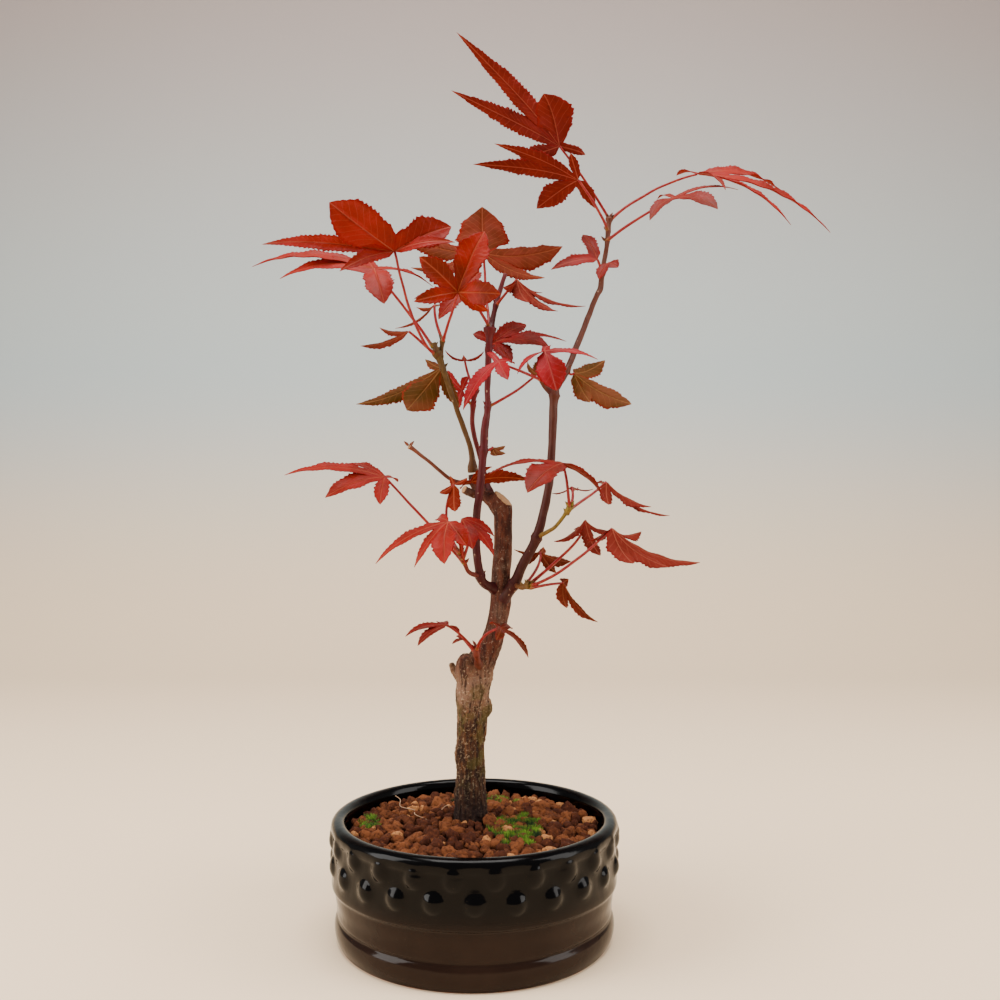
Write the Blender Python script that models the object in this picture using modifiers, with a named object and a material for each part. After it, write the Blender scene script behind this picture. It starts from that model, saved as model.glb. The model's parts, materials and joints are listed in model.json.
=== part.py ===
"""Red Japanese maple bonsai in a round black pot with two rows of bumps.

The tables and driving dimensions are in millimetres.  The pot's axis is the Z axis, its flat
underside lies at z = 0, and the front of the tree faces -Y.
"""

import math

import bmesh
import bpy
from mathutils import Matrix, Vector

MM = 0.001
GAP = 0.3                   # clearance between neighbouring solids

# Pot
RIM_RADIUS = 65.0
POT_HEIGHT = 54.5
FLOOR_TOP = 6.0
WALL_FOOT_RADIUS = 55.0     # inside of the wall, above the floor
MOUTH_RADIUS = 58.4
POT_STEPS = 36
BUMPS_PER_ROW = 24
BUMP_RADIUS = 4.75
BUMP_PROUD = 2.2
BUMP_ROWS = ((45.8, 64.0, 8.6), (36.0, 63.9, 1.1))     # height, wall radius, first bump's angle
DRAIN_COUNT = 3
DRAIN_RADIUS = 5.0
DRAIN_DISTANCE = 24.0

# Drainage mesh
MESH_RADIUS = 34.0
MESH_THICKNESS = 0.8
MESH_SLOT = 3.0

# Soil and moss
SOIL_EDGE_Z = 47.8
SOIL_RISE = 2.4
SOIL_SIDE_GAP = 0.5
MOSS = {                    # centre x, y, half lengths x, y, height above the soil
    "moss_front": (19, -9, 14, 25, 4.0),
    "moss_left": (-49, 3, 6, 13, 3.0),
    "moss_back": (4, 40, 18, 8, 3.5),
}

# Leaves
BLADE_THICKNESS = 0.5
PETIOLE_RADIUS = 0.7
LOBE_ARCH = 0.1             # rise of a lobe's midrib, over its length
LOBE_FOLD = 0.25            # rise of a lobe's margin, over its half width

# Each stem: the stem that it grows from, then its tubes, each a list of (x, y, z, radius).
STEMS = {
    "trunk": (None, [
        [(-2, 8, 22, 3.0), (-2, 8, 32, 6.5), (-2, 8, 42, 8.6), (-2, 8, 49, 8.2), (-2, 8, 54, 7.8), (-2, 8, 65, 7.2),
         (-2, 8, 77, 7.1), (-1, 7, 96, 7.4), (-1, 6, 105, 7.9), (0, 5, 114, 7.8), (2, 4, 122, 6.9), (7, 3, 131, 5.3),
         (10, 2, 140, 4.6), (12, 1, 152, 4.9), (12, 0, 164, 4.4), (13, 0, 177, 4.2), (13, 0, 198, 4.1)],
        [(12, 0, 193, 3.9), (8, 3, 198, 3.5), (3, 6, 202, 3.0), (0, 7, 206, 2.6), (-1, 7, 210, 2.2)],
        [(4, 5, 200, 2.2), (-1, 2, 201, 1.9), (-5, -1, 203, 1.8)],
        [(-2, 5, 114, 6.0), (-4, 1, 122, 5.0), (-5, -1, 127, 2.6)],
    ]),
    "left_shoot": ("trunk", [
        [(-1, 7, 211, 1.6), (-2, 5, 222, 1.3), (-8, -2, 239, 1.2), (-12, -8, 251, 1.2), (-15, -12, 260, 1.2),
         (-17, -13, 264, 1.3)],
        [(-16, -13, 262, 1.1), (-18, -14, 268, 1.0)],
        [(-15, -12, 260, 1.0), (-14, -12, 270, 0.8)],
    ]),
    "inner_shoot": ("trunk", [
        [(7, 4, 200, 1.6), (5, 8, 208, 1.2), (2, 9, 219, 1.1), (-1, 9, 231, 1.1), (-1, 9, 242, 1.1),
         (0, 10, 248, 0.9)],
    ]),
    "centre_shoot": ("trunk", [
        [(10, 0, 157, 2.3), (4, -9, 161, 2.0), (2, -12, 168, 1.9), (1, -12, 177, 1.8), (1, -12, 189, 1.8),
         (3, -11, 207, 1.8), (4, -10, 218, 1.8), (5, -9, 232, 1.8), (6, -8, 239, 1.4), (6, -7, 252, 1.4),
         (7, -5, 276, 1.6)],
        [(7, -5, 274, 1.4), (9, -2, 284, 1.2), (11, 0, 292, 1.1), (14, 2, 302, 1.0)],
    ]),
    "right_shoot": ("trunk", [
        [(12, 0, 152, 2.9), (18, -5, 160, 2.5), (22, -7, 169, 2.2), (28, -9, 181, 2.2), (32, -9, 196, 1.9),
         (34, -9, 208, 1.8), (35, -9, 223, 1.8), (36, -8, 245, 2.0), (38, -7, 250, 1.6), (42, -4, 257, 1.4),
         (47, 2, 269, 1.4), (53, 8, 284, 1.3), (57, 12, 294, 1.3), (59, 14, 298, 1.4), (60, 16, 306, 1.2),
         (62, 18, 317, 1.1), (64, 22, 333, 1.0)],
        [(36, -8, 245, 1.5), (32, -8, 249, 1.2), (30, -9, 253, 1.0)],
    ]),
    "dead_twig": ("trunk", [
        [(0, 7, 206, 1.2), (-10, 2, 207, 0.9), (-20, -6, 215, 0.8), (-29, -12, 222, 0.9)],
    ]),
    "front_left_twig": ("centre_shoot", [
        [(3, -11, 164, 1.2), (-2, -16, 166, 1.0), (-4, -20, 170, 0.9), (-6, -25, 175, 0.8)],
    ]),
    "upper_right_twig": ("right_shoot", [
        [(28, -9, 181, 1.1), (33, -14, 184, 0.9), (37, -17, 187, 0.8), (42, -24, 195, 0.8)],
    ]),
    "lower_right_twig": ("right_shoot", [
        [(18, -5, 160, 1.3), (21, -11, 159, 1.1), (25, -15, 160, 1.0)],
    ]),
    "low_bud": ("trunk", [
        [(2, 0, 122, 1.5), (1, -7, 128, 1.1), (1, -8, 132, 0.9)],
    ]),
}

# Each leaf: its stem, where the petiole leaves it, the petiole's middle, the hub where the lobes
# meet, and the lobes, anticlockwise seen from the upper face: the tip from the hub, and the width.
LEAVES = {
    "leaf_left_top": ("left_shoot", (-17, -13, 263), (-25, -26, 274), (-33, -38, 303),
        [(26, -8, 2, 7), (24, 2, 11, 15), (-26, -10, 18, 20), (-57, 4, 4, 8), (-22, -8, -10, 8)]),
    "leaf_left_upper": ("left_shoot", (-18, -14, 266), (-29, -14, 281), (-44, -18, 300),
        [(25, 14, -5, 7), (-13, 24, 9, 8), (-57, 14, 4, 11), (-42, 2, -4, 11), (6, -14, -18, 14)]),
    "leaf_left_arching": ("left_shoot", (-17, -13, 263), (-23, -13, 268), (-29, -14, 273),
        [(-21, -4, -7, 8), (-14, 8, 3, 5)]),
    "leaf_left_olive": ("left_shoot", (-14, -11, 257), (-14, -7, 257), (-15, -4, 258),
        [(8, 4, -17, 8), (-15, -9, -20, 17), (-38, -6, -17, 10), (-8, 8, 5, 5)]),
    "leaf_left_inner": ("left_shoot", (-14, -12, 269), (-17, -10, 278), (-18, -8, 286),
        [(-18, 4, -10, 5), (-9, 12, 1, 4), (5, 10, 4, 4)]),
    "leaf_front_centre": ("left_shoot", (-14, -12, 269), (-10, -30, 276), (-6, -42, 285),
        [(13, 0, -8, 6), (18, -12, -3, 12), (11, 2, 26, 15), (-16, -4, 14, 11), (-18, -6, -5, 8)]),
    "leaf_behind_centre": ("centre_shoot", (7, -5, 276), (1, -14, 285), (-3, -20, 289),
        [(5, -6, -7, 6), (6, 14, 12, 7), (-10, 20, 10, 7), (-23, -2, -3, 8), (-12, -8, -13, 9)]),
    "leaf_top_centre": ("centre_shoot", (7, -5, 275), (5, 6, 295), (4, 10, 313),
        [(-33, -12, -9, 9), (-40, 4, 12, 14), (-1, 18, 27, 26), (37, 2, 4, 18), (28, -14, -14, 9)]),
    "leaf_right_of_stub": ("centre_shoot", (10, -1, 287), (14, -8, 291), (19, -10, 297),
        [(-6, -12, -6, 7), (12, 10, -4, 5), (31, 0, -12, 8), (18, -10, -16, 10), (5, -15, -13, 9)]),
    "leaf_inner_small": ("inner_shoot", (0, 10, 247), (-3, 15, 256), (-5, 16, 264),
        [(-9, -6, 4, 6), (-1, 10, 4, 3), (9, -2, 4, 6)]),
    "leaf_inner_pink": ("inner_shoot", (-1, 9, 242), (-4, 8, 245), (-6, 7, 249),
        [(3, -4, 6, 5), (-7, 6, 10, 6), (-2, 4, -8, 7)]),
    "leaf_front_pink": ("right_shoot", (30, -9, 252), (22, -20, 254), (11, -26, 258),
        [(7, 8, 0, 5), (-5, 8, 5, 4), (-15, -12, -22, 9), (4, -10, -9, 7)]),
    "leaf_centre_right": ("centre_shoot", (7, -6, 266), (7, 2, 268), (8, 7, 271),
        [(9, -12, -11, 9), (26, -9, -3, 14), (35, 9, 2, 5), (16, 9, 10, 10), (-9, -1, 4, 7)]),
    "leaf_fork_pink": ("right_shoot", (30, -9, 252), (31, -17, 257), (31, -24, 263),
        [(5, -6, -18, 14), (23, -2, -4, 4), (3, 18, 3, 4), (-12, -8, -11, 6)]),
    "leaf_fork_brown": ("centre_shoot", (6, -8, 240), (17, -7, 246), (28, -4, 255),
        [(-4, -6, 5, 5), (4, 10, 9, 6), (10, 5, 3, 4)]),
    "leaf_right_olive": ("right_shoot", (42, -4, 257), (44, 3, 256), (46, 9, 257),
        [(16, 14, 8, 11), (26, -8, -15, 15), (7, -6, -14, 9)]),
    "leaf_crown_top": ("right_shoot", (64, 22, 332), (55, 20, 346), (40, 18, 366),
        [(-19, 6, -4, 10), (-52, 9, 30, 10), (-49, -3, 53, 11), (-8, -8, 22, 20), (12, -3, -5, 5)]),
    "leaf_crown_second": ("right_shoot", (63, 20, 326), (57, 14, 336), (48, 8, 347),
        [(9, 12, -10, 7), (-19, 12, -10, 13), (-49, 2, 8, 10), (-39, -9, 14, 8), (-4, -8, 10, 5)]),
    "leaf_crown_right": ("right_shoot", (64, 22, 332), (84, 24, 346), (106, 22, 354),
        [(9, -22, -14, 7), (40, -18, -29, 9), (65, 4, -27, 12), (48, 26, -2, 14), (-8, 12, 3, 6)]),
    "leaf_crown_right_lower": ("right_shoot", (62, 19, 321), (77, 10, 330), (92, 6, 338),
        [(-13, -14, -14, 8), (17, -18, -10, 13), (31, 4, 5, 5), (-5, 16, 4, 4)]),
    "leaf_node_left": ("right_shoot", (60, 16, 306), (58, 11, 309), (57, 8, 310),
        [(-6, 10, 14, 8), (-22, -6, -6, 8)]),
    "leaf_node_right": ("right_shoot", (60, 16, 305), (62, 9, 307), (62, 6, 308),
        [(-5, -6, -9, 6), (4, -4, -3, 7)]),
    "leaf_mid_left": ("front_left_twig", (-4, -21, 170), (-20, -24, 188), (-39, -20, 208),
        [(5, 8, -2, 5), (-24, 22, 5, 8), (-45, 4, 1, 10), (-25, -8, -9, 12), (-1, -10, -12, 8)]),
    "leaf_front_left": ("front_left_twig", (-6, -25, 175), (-10, -36, 181), (-10, -42, 189),
        [(-6, 16, 0, 5), (-31, 4, -18, 8), (-14, -4, -19, 6), (-1, -14, -17, 12), (8, -8, -10, 9)]),
    "leaf_front_left_second": ("front_left_twig", (-5, -23, 172), (-2, -25, 182), (-5, -26, 190),
        [(2, -5, -21, 3), (5, -10, -13, 9), (14, -6, -16, 8), (14, 8, -8, 7)]),
    "leaf_small_orange": ("front_left_twig", (-6, -25, 175), (-12, -18, 190), (-9, -14, 205),
        [(1, -10, -12, 7), (-6, -4, -4, 5), (-2, 8, 4, 3), (6, 4, 3, 4)]),
    "leaf_arm_orange": ("trunk", (0, 7, 206), (-1, 1, 207), (-2, -3, 206),
        [(-4, -6, -3, 5), (10, -4, 7, 5), (27, 2, 1, 9)]),
    "leaf_tiny_centre": ("centre_shoot", (4, -10, 220), (7, -5, 221), (8, -2, 222),
        [(6, 6, 1, 4), (6, -4, -3, 5), (2, -5, -4, 4)]),
    "leaf_mid_right_top": ("upper_right_twig", (42, -23, 194), (41, -27, 203), (39, -26, 214),
        [(17, -13, -17, 11), (-9, 18, -2, 6), (-32, -8, -5, 7), (-16, -18, -13, 15)]),
    "leaf_mid_right_far": ("upper_right_twig", (42, -23, 194), (50, -18, 199), (59, -14, 206),
        [(-1, 14, 1, 6), (29, 6, -15, 9), (19, -6, -11, 10), (0, -10, -10, 7)]),
    "leaf_mid_right_small": ("upper_right_twig", (41, -22, 192), (44, -12, 198), (44, -6, 204),
        [(-9, -3, -3, 4), (4, 14, 0, 3), (10, 2, -1, 4)]),
    "leaf_right_low_upper": ("lower_right_twig", (24, -14, 160), (44, -15, 178), (49, -20, 189),
        [(-14, -6, -9, 12), (-2, 14, -3, 7), (12, 6, -5, 10), (6, -8, -15, 10)]),
    "leaf_right_long": ("lower_right_twig", (25, -15, 160), (40, -30, 169), (59, -38, 186),
        [(-10, 7, -5, 8), (15, 20, -2, 9), (39, 10, -15, 13), (23, -6, -16, 13), (7, -14, -14, 13)]),
    "leaf_right_low_inner": ("lower_right_twig", (22, -12, 159), (29, -3, 168), (30, 2, 174),
        [(-11, 0, -6, 4), (-12, 6, 1, 3), (2, 10, 2, 4), (14, -4, -4, 9), (7, -8, -9, 5)]),
    "leaf_right_lowest": ("lower_right_twig", (25, -15, 159), (33, -22, 161), (39, -26, 162),
        [(3, 10, 1, 5), (15, 0, -17, 8), (1, -8, -10, 8)]),
    "leaf_low_left": ("low_bud", (1, -7, 129), (-6, -14, 138), (-12, -20, 143),
        [(6, -2, -3, 6), (-4, 12, -1, 5), (-18, 0, -5, 9), (-12, -8, -8, 7)]),
    "leaf_low_right": ("low_bud", (1, -8, 130), (5, -16, 138), (12, -22, 142),
        [(-2, -10, -4, 6), (12, 0, -13, 8), (5, 12, -2, 4), (-5, 6, 1, 5)]),
    "leaf_low_tiny": ("low_bud", (1, -7, 128), (-3, -6, 133), (-5, -5, 135),
        [(-3, 4, 1, 3), (-5, -2, -2, 3)]),
}

# Colours, sRGB 0 to 255
LEAF_RED = (176, 48, 40)
LEAF_PINK = (206, 66, 76)
LEAF_ORANGE = (198, 66, 34)
LEAF_OLIVE = (128, 84, 48)
LEAF_TINTS = {
    "leaf_left_olive": LEAF_OLIVE,
    "leaf_right_olive": LEAF_OLIVE,
    "leaf_fork_brown": LEAF_OLIVE,
    "leaf_tiny_centre": LEAF_OLIVE,
    "leaf_front_centre": LEAF_ORANGE,
    "leaf_arm_orange": LEAF_ORANGE,
    "leaf_small_orange": LEAF_ORANGE,
    "leaf_inner_pink": LEAF_PINK,
    "leaf_front_pink": LEAF_PINK,
    "leaf_fork_pink": LEAF_PINK,
    "leaf_front_left": LEAF_PINK,
}
BARK = (112, 100, 86)
STEM_TINTS = {
    "trunk": BARK,
    "left_shoot": (140, 112, 74),
    "dead_twig": (150, 128, 96),
    "upper_right_twig": (132, 120, 74),
}
SHOOT_RED = (94, 44, 44)


# Scene and materials

def clear_scene():
    for item in list(bpy.data.objects):
        bpy.data.objects.remove(item, do_unlink=True)


def make_collection(name):
    collection = bpy.data.collections.new(name)
    bpy.context.scene.collection.children.link(collection)
    return collection


def linear(colour):
    return [(c / 255.0) ** 2.2 for c in colour] + [1.0]


def make_material(name, colour, roughness):
    material = bpy.data.materials.new(name)
    material.use_nodes = True
    shader = material.node_tree.nodes["Principled BSDF"]
    shader.inputs["Base Color"].default_value = linear(colour)
    shader.inputs["Roughness"].default_value = roughness
    shader.inputs["Metallic"].default_value = 0.0
    material.diffuse_color = linear(colour)
    return material


def add_object(name, mesh, collection):
    item = bpy.data.objects.new(name, mesh)
    collection.objects.link(item)
    return item


def add_part(name, mesh, colour, roughness):
    item = add_object(name, mesh, parts)
    item.data.materials.append(make_material(name, colour, roughness))
    item.data.shade_smooth()
    return item


def add_cutter(name, mesh):
    item = add_object(name, mesh, cutters)
    item.hide_render = True
    item.display_type = "WIRE"
    return item


# Modelling helpers

def combine(target, operand, operation):
    """Boolean modifier that joins the operand to the target or cuts the target with it."""
    modifier = target.modifiers.new(operation.title() + "_" + operand.name, "BOOLEAN")
    modifier.object = operand
    modifier.operation = operation
    modifier.solver = "EXACT"
    return modifier


def turn(item, steps):
    """Screw modifier that turns the item's profile round the Z axis."""
    modifier = item.modifiers.new("Turn", "SCREW")
    modifier.steps = steps
    modifier.render_steps = steps
    modifier.use_merge_vertices = True
    modifier.merge_threshold = 0.00001


def profile_mesh(name, outline):
    """Half outline as (radius, height) points, from the axis over the top and down the outside."""
    mesh = bpy.data.meshes.new(name)
    points = [(radius * MM, 0.0, height * MM) for radius, height in outline]
    edges = [(i, i + 1) for i in range(len(points) - 1)]
    mesh.from_pydata(points, edges, [])
    return mesh


def mesh_from(name, shape):
    mesh = bpy.data.meshes.new(name)
    shape.to_mesh(mesh)
    shape.free()
    return mesh


def tube_mesh(name, tube, resolution):
    """Closed tube through (x, y, z, radius) points; it has 4 + 2 * resolution sides."""
    curve = bpy.data.curves.new(name, "CURVE")
    curve.dimensions = "3D"
    curve.bevel_depth = MM
    curve.bevel_resolution = resolution
    curve.use_fill_caps = True
    spline = curve.splines.new("POLY")
    spline.points.add(len(tube) - 1)
    for point, (x, y, z, radius) in zip(spline.points, tube):
        point.co = (x * MM, y * MM, z * MM, 1.0)
        point.radius = radius
    holder = add_object(name, curve, cutters)
    bpy.context.view_layer.update()
    evaluated = holder.evaluated_get(bpy.context.evaluated_depsgraph_get())
    mesh = bpy.data.meshes.new_from_object(evaluated)
    bpy.data.objects.remove(holder, do_unlink=True)
    bpy.data.curves.remove(curve)
    shape = bmesh.new()
    shape.from_mesh(mesh)
    bmesh.ops.remove_doubles(shape, verts=shape.verts, dist=0.000001)
    bmesh.ops.recalc_face_normals(shape, faces=shape.faces)
    shape.to_mesh(mesh)
    shape.free()
    mesh.materials.clear()
    return mesh


def around(angle, distance):
    """Point at an angle in degrees from the front, turning towards +X, and a distance from the axis."""
    turned = math.radians(angle)
    return Vector((distance * math.sin(turned), -distance * math.cos(turned), 0.0))


# Pot, drainage mesh, soil and moss

def pot_outline():
    foot = [(64.2, 25.8), (63.5, 24.6), (63.3, 21.0), (62.5, 16.5), (62.6, 12.6), (61.9, 11.7), (63.1, 10.6),
            (63.5, 7.3), (62.6, 2.7), (61.0, 0.0), (0.0, 0.0)]
    wall = [(64.4, 48.6), (63.9, 47.0), (63.9, 30.0), (64.7, 28.0)]
    lip = [(MOUTH_RADIUS, 52.4), (59.6, 54.0), (61.6, POT_HEIGHT), (63.8, 53.6), (RIM_RADIUS, 51.0)]
    inside = [(0.0, FLOOR_TOP), (WALL_FOOT_RADIUS - 3.0, FLOOR_TOP), (WALL_FOOT_RADIUS, FLOOR_TOP + 2.5)]
    return inside + lip + wall + foot


def bumps_mesh():
    shape = bmesh.new()
    for height, wall_radius, first_angle in BUMP_ROWS:
        for k in range(BUMPS_PER_ROW):
            angle = first_angle + 360.0 * k / BUMPS_PER_ROW
            place = Matrix.Translation((around(angle, wall_radius) + Vector((0, 0, height))) * MM)
            outward = Matrix.Rotation(math.radians(angle), 4, "Z") @ Matrix.Rotation(math.radians(90), 4, "X")
            flatten = Matrix.Diagonal((1.0, 1.0, BUMP_PROUD / BUMP_RADIUS, 1.0))
            bmesh.ops.create_uvsphere(shape, u_segments=6, v_segments=4, radius=BUMP_RADIUS * MM,
                                      matrix=place @ outward @ flatten)
    return mesh_from("bumps", shape)


def drains_mesh():
    shape = bmesh.new()
    for k in range(DRAIN_COUNT):
        place = around(360.0 * k / DRAIN_COUNT, DRAIN_DISTANCE) + Vector((0, 0, FLOOR_TOP / 2))
        bmesh.ops.create_cone(shape, cap_ends=True, segments=16, radius1=DRAIN_RADIUS * MM,
                              radius2=DRAIN_RADIUS * MM, depth=4 * FLOOR_TOP * MM,
                              matrix=Matrix.Translation(place * MM))
    return mesh_from("drains", shape)


def build_pot():
    pot = add_part("pot", profile_mesh("pot", pot_outline()), (22, 20, 20), 0.12)
    turn(pot, POT_STEPS)
    combine(pot, add_cutter("bumps", bumps_mesh()), "UNION")
    combine(pot, add_cutter("drains", drains_mesh()), "DIFFERENCE")


def slots_mesh():
    """Four square slots over each drain."""
    shape = bmesh.new()
    for k in range(DRAIN_COUNT):
        drain = around(360.0 * k / DRAIN_COUNT, DRAIN_DISTANCE)
        for side in (-1, 1):
            for way in (-1, 1):
                offset = Vector((side, way, 0)) * (MESH_SLOT * 2 / 3)
                place = drain + offset + Vector((0, 0, FLOOR_TOP))
                bmesh.ops.create_cube(shape, size=MESH_SLOT * MM, matrix=Matrix.Translation(place * MM))
    return mesh_from("slots", shape)


def build_drainage_mesh():
    shape = bmesh.new()
    height = FLOOR_TOP + GAP + MESH_THICKNESS / 2
    bmesh.ops.create_cone(shape, cap_ends=True, segments=32, radius1=MESH_RADIUS * MM,
                          radius2=MESH_RADIUS * MM, depth=MESH_THICKNESS * MM,
                          matrix=Matrix.Translation((0, 0, height * MM)))
    mesh = add_part("drainage_mesh", mesh_from("drainage_mesh", shape), (40, 42, 40), 0.6)
    combine(mesh, add_cutter("slots", slots_mesh()), "DIFFERENCE")


def soil_height(radius):
    """The soil's mounded surface."""
    return SOIL_EDGE_Z + SOIL_RISE * max(0.0, 1.0 - radius / MOUTH_RADIUS)


def soil_outline(grow):
    """The soil's half outline, grown by a clearance."""
    top = [(radius, soil_height(radius) + grow) for radius in (0, 20, 40)]
    wall_slope = (MOUTH_RADIUS - WALL_FOOT_RADIUS) / (52.4 - FLOOR_TOP - 2.5)
    edge = WALL_FOOT_RADIUS + wall_slope * (SOIL_EDGE_Z - FLOOR_TOP - 2.5) - SOIL_SIDE_GAP
    under_mesh = FLOOR_TOP + 2 * GAP + MESH_THICKNESS
    bottom = [(edge, SOIL_EDGE_Z + grow), (WALL_FOOT_RADIUS - SOIL_SIDE_GAP, FLOOR_TOP + 3.0),
              (WALL_FOOT_RADIUS - 4.0, FLOOR_TOP + GAP), (MESH_RADIUS + 1.0, FLOOR_TOP + GAP),
              (MESH_RADIUS + 1.0, under_mesh), (0.0, under_mesh)]
    return top + bottom


def build_soil():
    soil = add_part("soil", profile_mesh("soil", soil_outline(0.0)), (132, 76, 46), 0.95)
    turn(soil, POT_STEPS)
    rootstock = [(x, y, z, radius + 2 * GAP) for x, y, z, radius in STEMS["trunk"][1][0][:5]]
    rootstock[0] = (rootstock[0][0], rootstock[0][1], rootstock[0][2] - 2 * GAP, rootstock[0][3])
    combine(soil, add_cutter("rootstock", tube_mesh("rootstock", rootstock, 4)), "DIFFERENCE")


def build_moss():
    ground = add_cutter("ground", profile_mesh("ground", soil_outline(GAP)))
    turn(ground, POT_STEPS)
    for name, (x, y, half_x, half_y, height) in MOSS.items():
        shape = bmesh.new()
        z = soil_height(math.hypot(x, y))
        place = Matrix.Translation(Vector((x, y, z)) * MM)
        size = Matrix.Diagonal((half_x, half_y, height, 1.0))
        bmesh.ops.create_uvsphere(shape, u_segments=16, v_segments=8, radius=MM, matrix=place @ size)
        moss = add_part(name, mesh_from(name, shape), (86, 124, 34), 0.95)
        combine(moss, ground, "DIFFERENCE")


# Stems

def nearest_on_stem(name, point):
    """Nearest point on a stem's axis, with the stem's radius and direction there."""
    best = None
    for tube in STEMS[name][1]:
        for first, second in zip(tube, tube[1:]):
            start = Vector(first[:3])
            along = Vector(second[:3]) - start
            t = min(1.0, max(0.0, (point - start).dot(along) / along.length_squared))
            spot = start + along * t
            radius = first[3] + (second[3] - first[3]) * t
            distance = (point - spot).length - radius
            if best is None or distance < best[0]:
                best = (distance, spot, radius, along.normalized())
    return best[1:]


def leaving_point(stem, point, toward, radius):
    """Where a side piece of a given radius starts, just off the surface of the stem it grows from."""
    spot, stem_radius, along = nearest_on_stem(stem, point)
    outward = toward - spot
    outward -= along * outward.dot(along)
    outward.normalize()
    lean = abs((toward - spot).normalized().dot(along))
    return spot + outward * (stem_radius + 2 * GAP + radius * lean)


def build_stems():
    for name, (parent, tubes) in STEMS.items():
        main = list(tubes[0])
        if parent:
            x, y, z, radius = main[0]
            start = leaving_point(parent, Vector((x, y, z)), Vector(main[1][:3]), radius)
            main[0] = (start.x, start.y, start.z, radius)
        sides = 4 if name == "trunk" else 1
        tint = STEM_TINTS.get(name, SHOOT_RED)
        stem = add_part(name, tube_mesh(name, main, sides), tint, 0.7)
        for number, tube in enumerate(tubes[1:]):
            side_name = "%s_side_%d" % (name, number + 1)
            combine(stem, add_cutter(side_name, tube_mesh(side_name, tube, sides)), "UNION")


# Leaves

class Lobe:
    """One lobe of a leaf, as vectors from the hub."""

    def __init__(self, row):
        self.tip = Vector(row[:3])
        self.length = self.tip.length
        self.along = self.tip.normalized()
        self.half_width = row[3] / 2
        slender = self.length / row[3]
        self.widest = min(0.58, max(0.44, 0.63 - 0.035 * slender))
        self.bluntness = min(2.2, max(1.4, 2.9 - 0.45 * slender))
        self.normal = None
        self.across = None

    def face(self, normal):
        """Turns the lobe's upper side to a normal."""
        self.normal = (normal - self.along * normal.dot(self.along)).normalized()
        self.across = self.normal.cross(self.along)

    def midrib(self, t):
        return self.tip * t + self.normal * (LOBE_ARCH * self.length * 4 * t * (1 - t))

    def half_width_at(self, t, start, start_width):
        """Half width between the point where the lobe comes free and its tip, blunter on a broad lobe."""
        widest = max(self.widest, start + 0.2)
        if t < widest:
            swell = math.sin(math.pi / 2 * (t - start) / (widest - start))
            return start_width + (self.half_width - start_width) * swell
        return self.half_width * (1 - ((t - widest) / (1 - widest)) ** self.bluntness)

    def margin(self, t, side, notch):
        """Point of the free margin; notch is the point where the margin starts."""
        start = notch.dot(self.along) / self.length
        start_width = abs(notch.dot(self.across))
        x = (t - start) / (1 - start)

        def plain(at):
            width = self.half_width_at(at, start, start_width)
            return self.midrib(at) + (self.across * side + self.normal * LOBE_FOLD) * width
        return plain(t) + (notch - plain(start)) * (1 - x) ** 2


def make_lobes(rows):
    lobes = [Lobe(row) for row in rows]
    crosses = [a.along.cross(b.along).normalized() for a, b in zip(lobes, lobes[1:])]
    mean = sum((a.tip.cross(b.tip) for a, b in zip(lobes, lobes[1:])), Vector()).normalized()
    for i, lobe in enumerate(lobes):
        beside = crosses[max(0, i - 1):i + 1]
        lobe.face(mean + sum(beside, Vector()) / len(beside))
    return lobes


def notch_between(first, second):
    """Point where two neighbouring lobes part."""
    middle = (first.along + second.along).normalized()
    half_angle = first.along.angle(second.along) / 2
    narrow = min(first.half_width, second.half_width)
    reach = min(0.26 * min(first.length, second.length), 0.84 * narrow / max(math.sin(half_angle), 0.2))
    rise = [lobe.normal * (LOBE_ARCH * 4 * reach * (1 - reach / lobe.length)) for lobe in (first, second)]
    return middle * reach + (rise[0] + rise[1]) / 2


def outer_notch(lobe, side):
    """Point where an outermost lobe's outer margin starts, beside the petiole."""
    return lobe.midrib(0.14) + lobe.across * (side * 0.6 * lobe.half_width)


def blade_sheet(rows):
    """The blade as an open sheet, five rows of faces to a lobe and one column each side of its midrib."""
    lobes = make_lobes(rows)
    notches = [outer_notch(lobes[0], -1)]
    notches += [notch_between(a, b) for a, b in zip(lobes, lobes[1:])]
    notches += [outer_notch(lobes[-1], 1)]
    shape = bmesh.new()
    hub = shape.verts.new((0, 0, 0))
    notch_verts = [shape.verts.new(notch * MM) for notch in notches]
    for i, lobe in enumerate(lobes):
        starts = [notch.dot(lobe.along) / lobe.length for notch in notches[i:i + 2]]
        widest = max(lobe.widest, max(starts) + 0.2)
        later = [widest, 0.45 + 0.55 * widest, 0.8 + 0.2 * widest]
        midrib = [shape.verts.new(lobe.midrib(t) * MM) for t in [sum(starts) / 2] + later]
        tip = shape.verts.new(lobe.tip * MM)
        for side, notch, start in ((-1, notches[i], notch_verts[i]), (1, notches[i + 1], notch_verts[i + 1])):
            edge = [start] + [shape.verts.new(lobe.margin(t, side, notch) * MM) for t in later]
            faces = [[hub, midrib[0], edge[0]], [midrib[-1], tip, edge[-1]]]
            faces += [[midrib[k], midrib[k + 1], edge[k + 1], edge[k]] for k in range(len(later))]
            for face in faces:
                shape.faces.new(face if side == 1 else face[::-1])
    bmesh.ops.recalc_face_normals(shape, faces=shape.faces)
    return shape


def petiole_tube(stem, attach, middle, hub):
    """Petiole on a quadratic curve through its middle point."""
    start = leaving_point(stem, attach, middle, PETIOLE_RADIUS)
    control = middle * 2 - (start + hub) / 2
    steps = 4
    tube = []
    for k in range(steps + 1):
        t = k / steps
        point = start * (1 - t) ** 2 + control * 2 * t * (1 - t) + hub * t ** 2
        tube.append((point.x, point.y, point.z, PETIOLE_RADIUS))
    end = (hub - control).normalized() * BLADE_THICKNESS
    tube[-1] = (hub.x + end.x, hub.y + end.y, hub.z + end.z, PETIOLE_RADIUS)
    return tube


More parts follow.
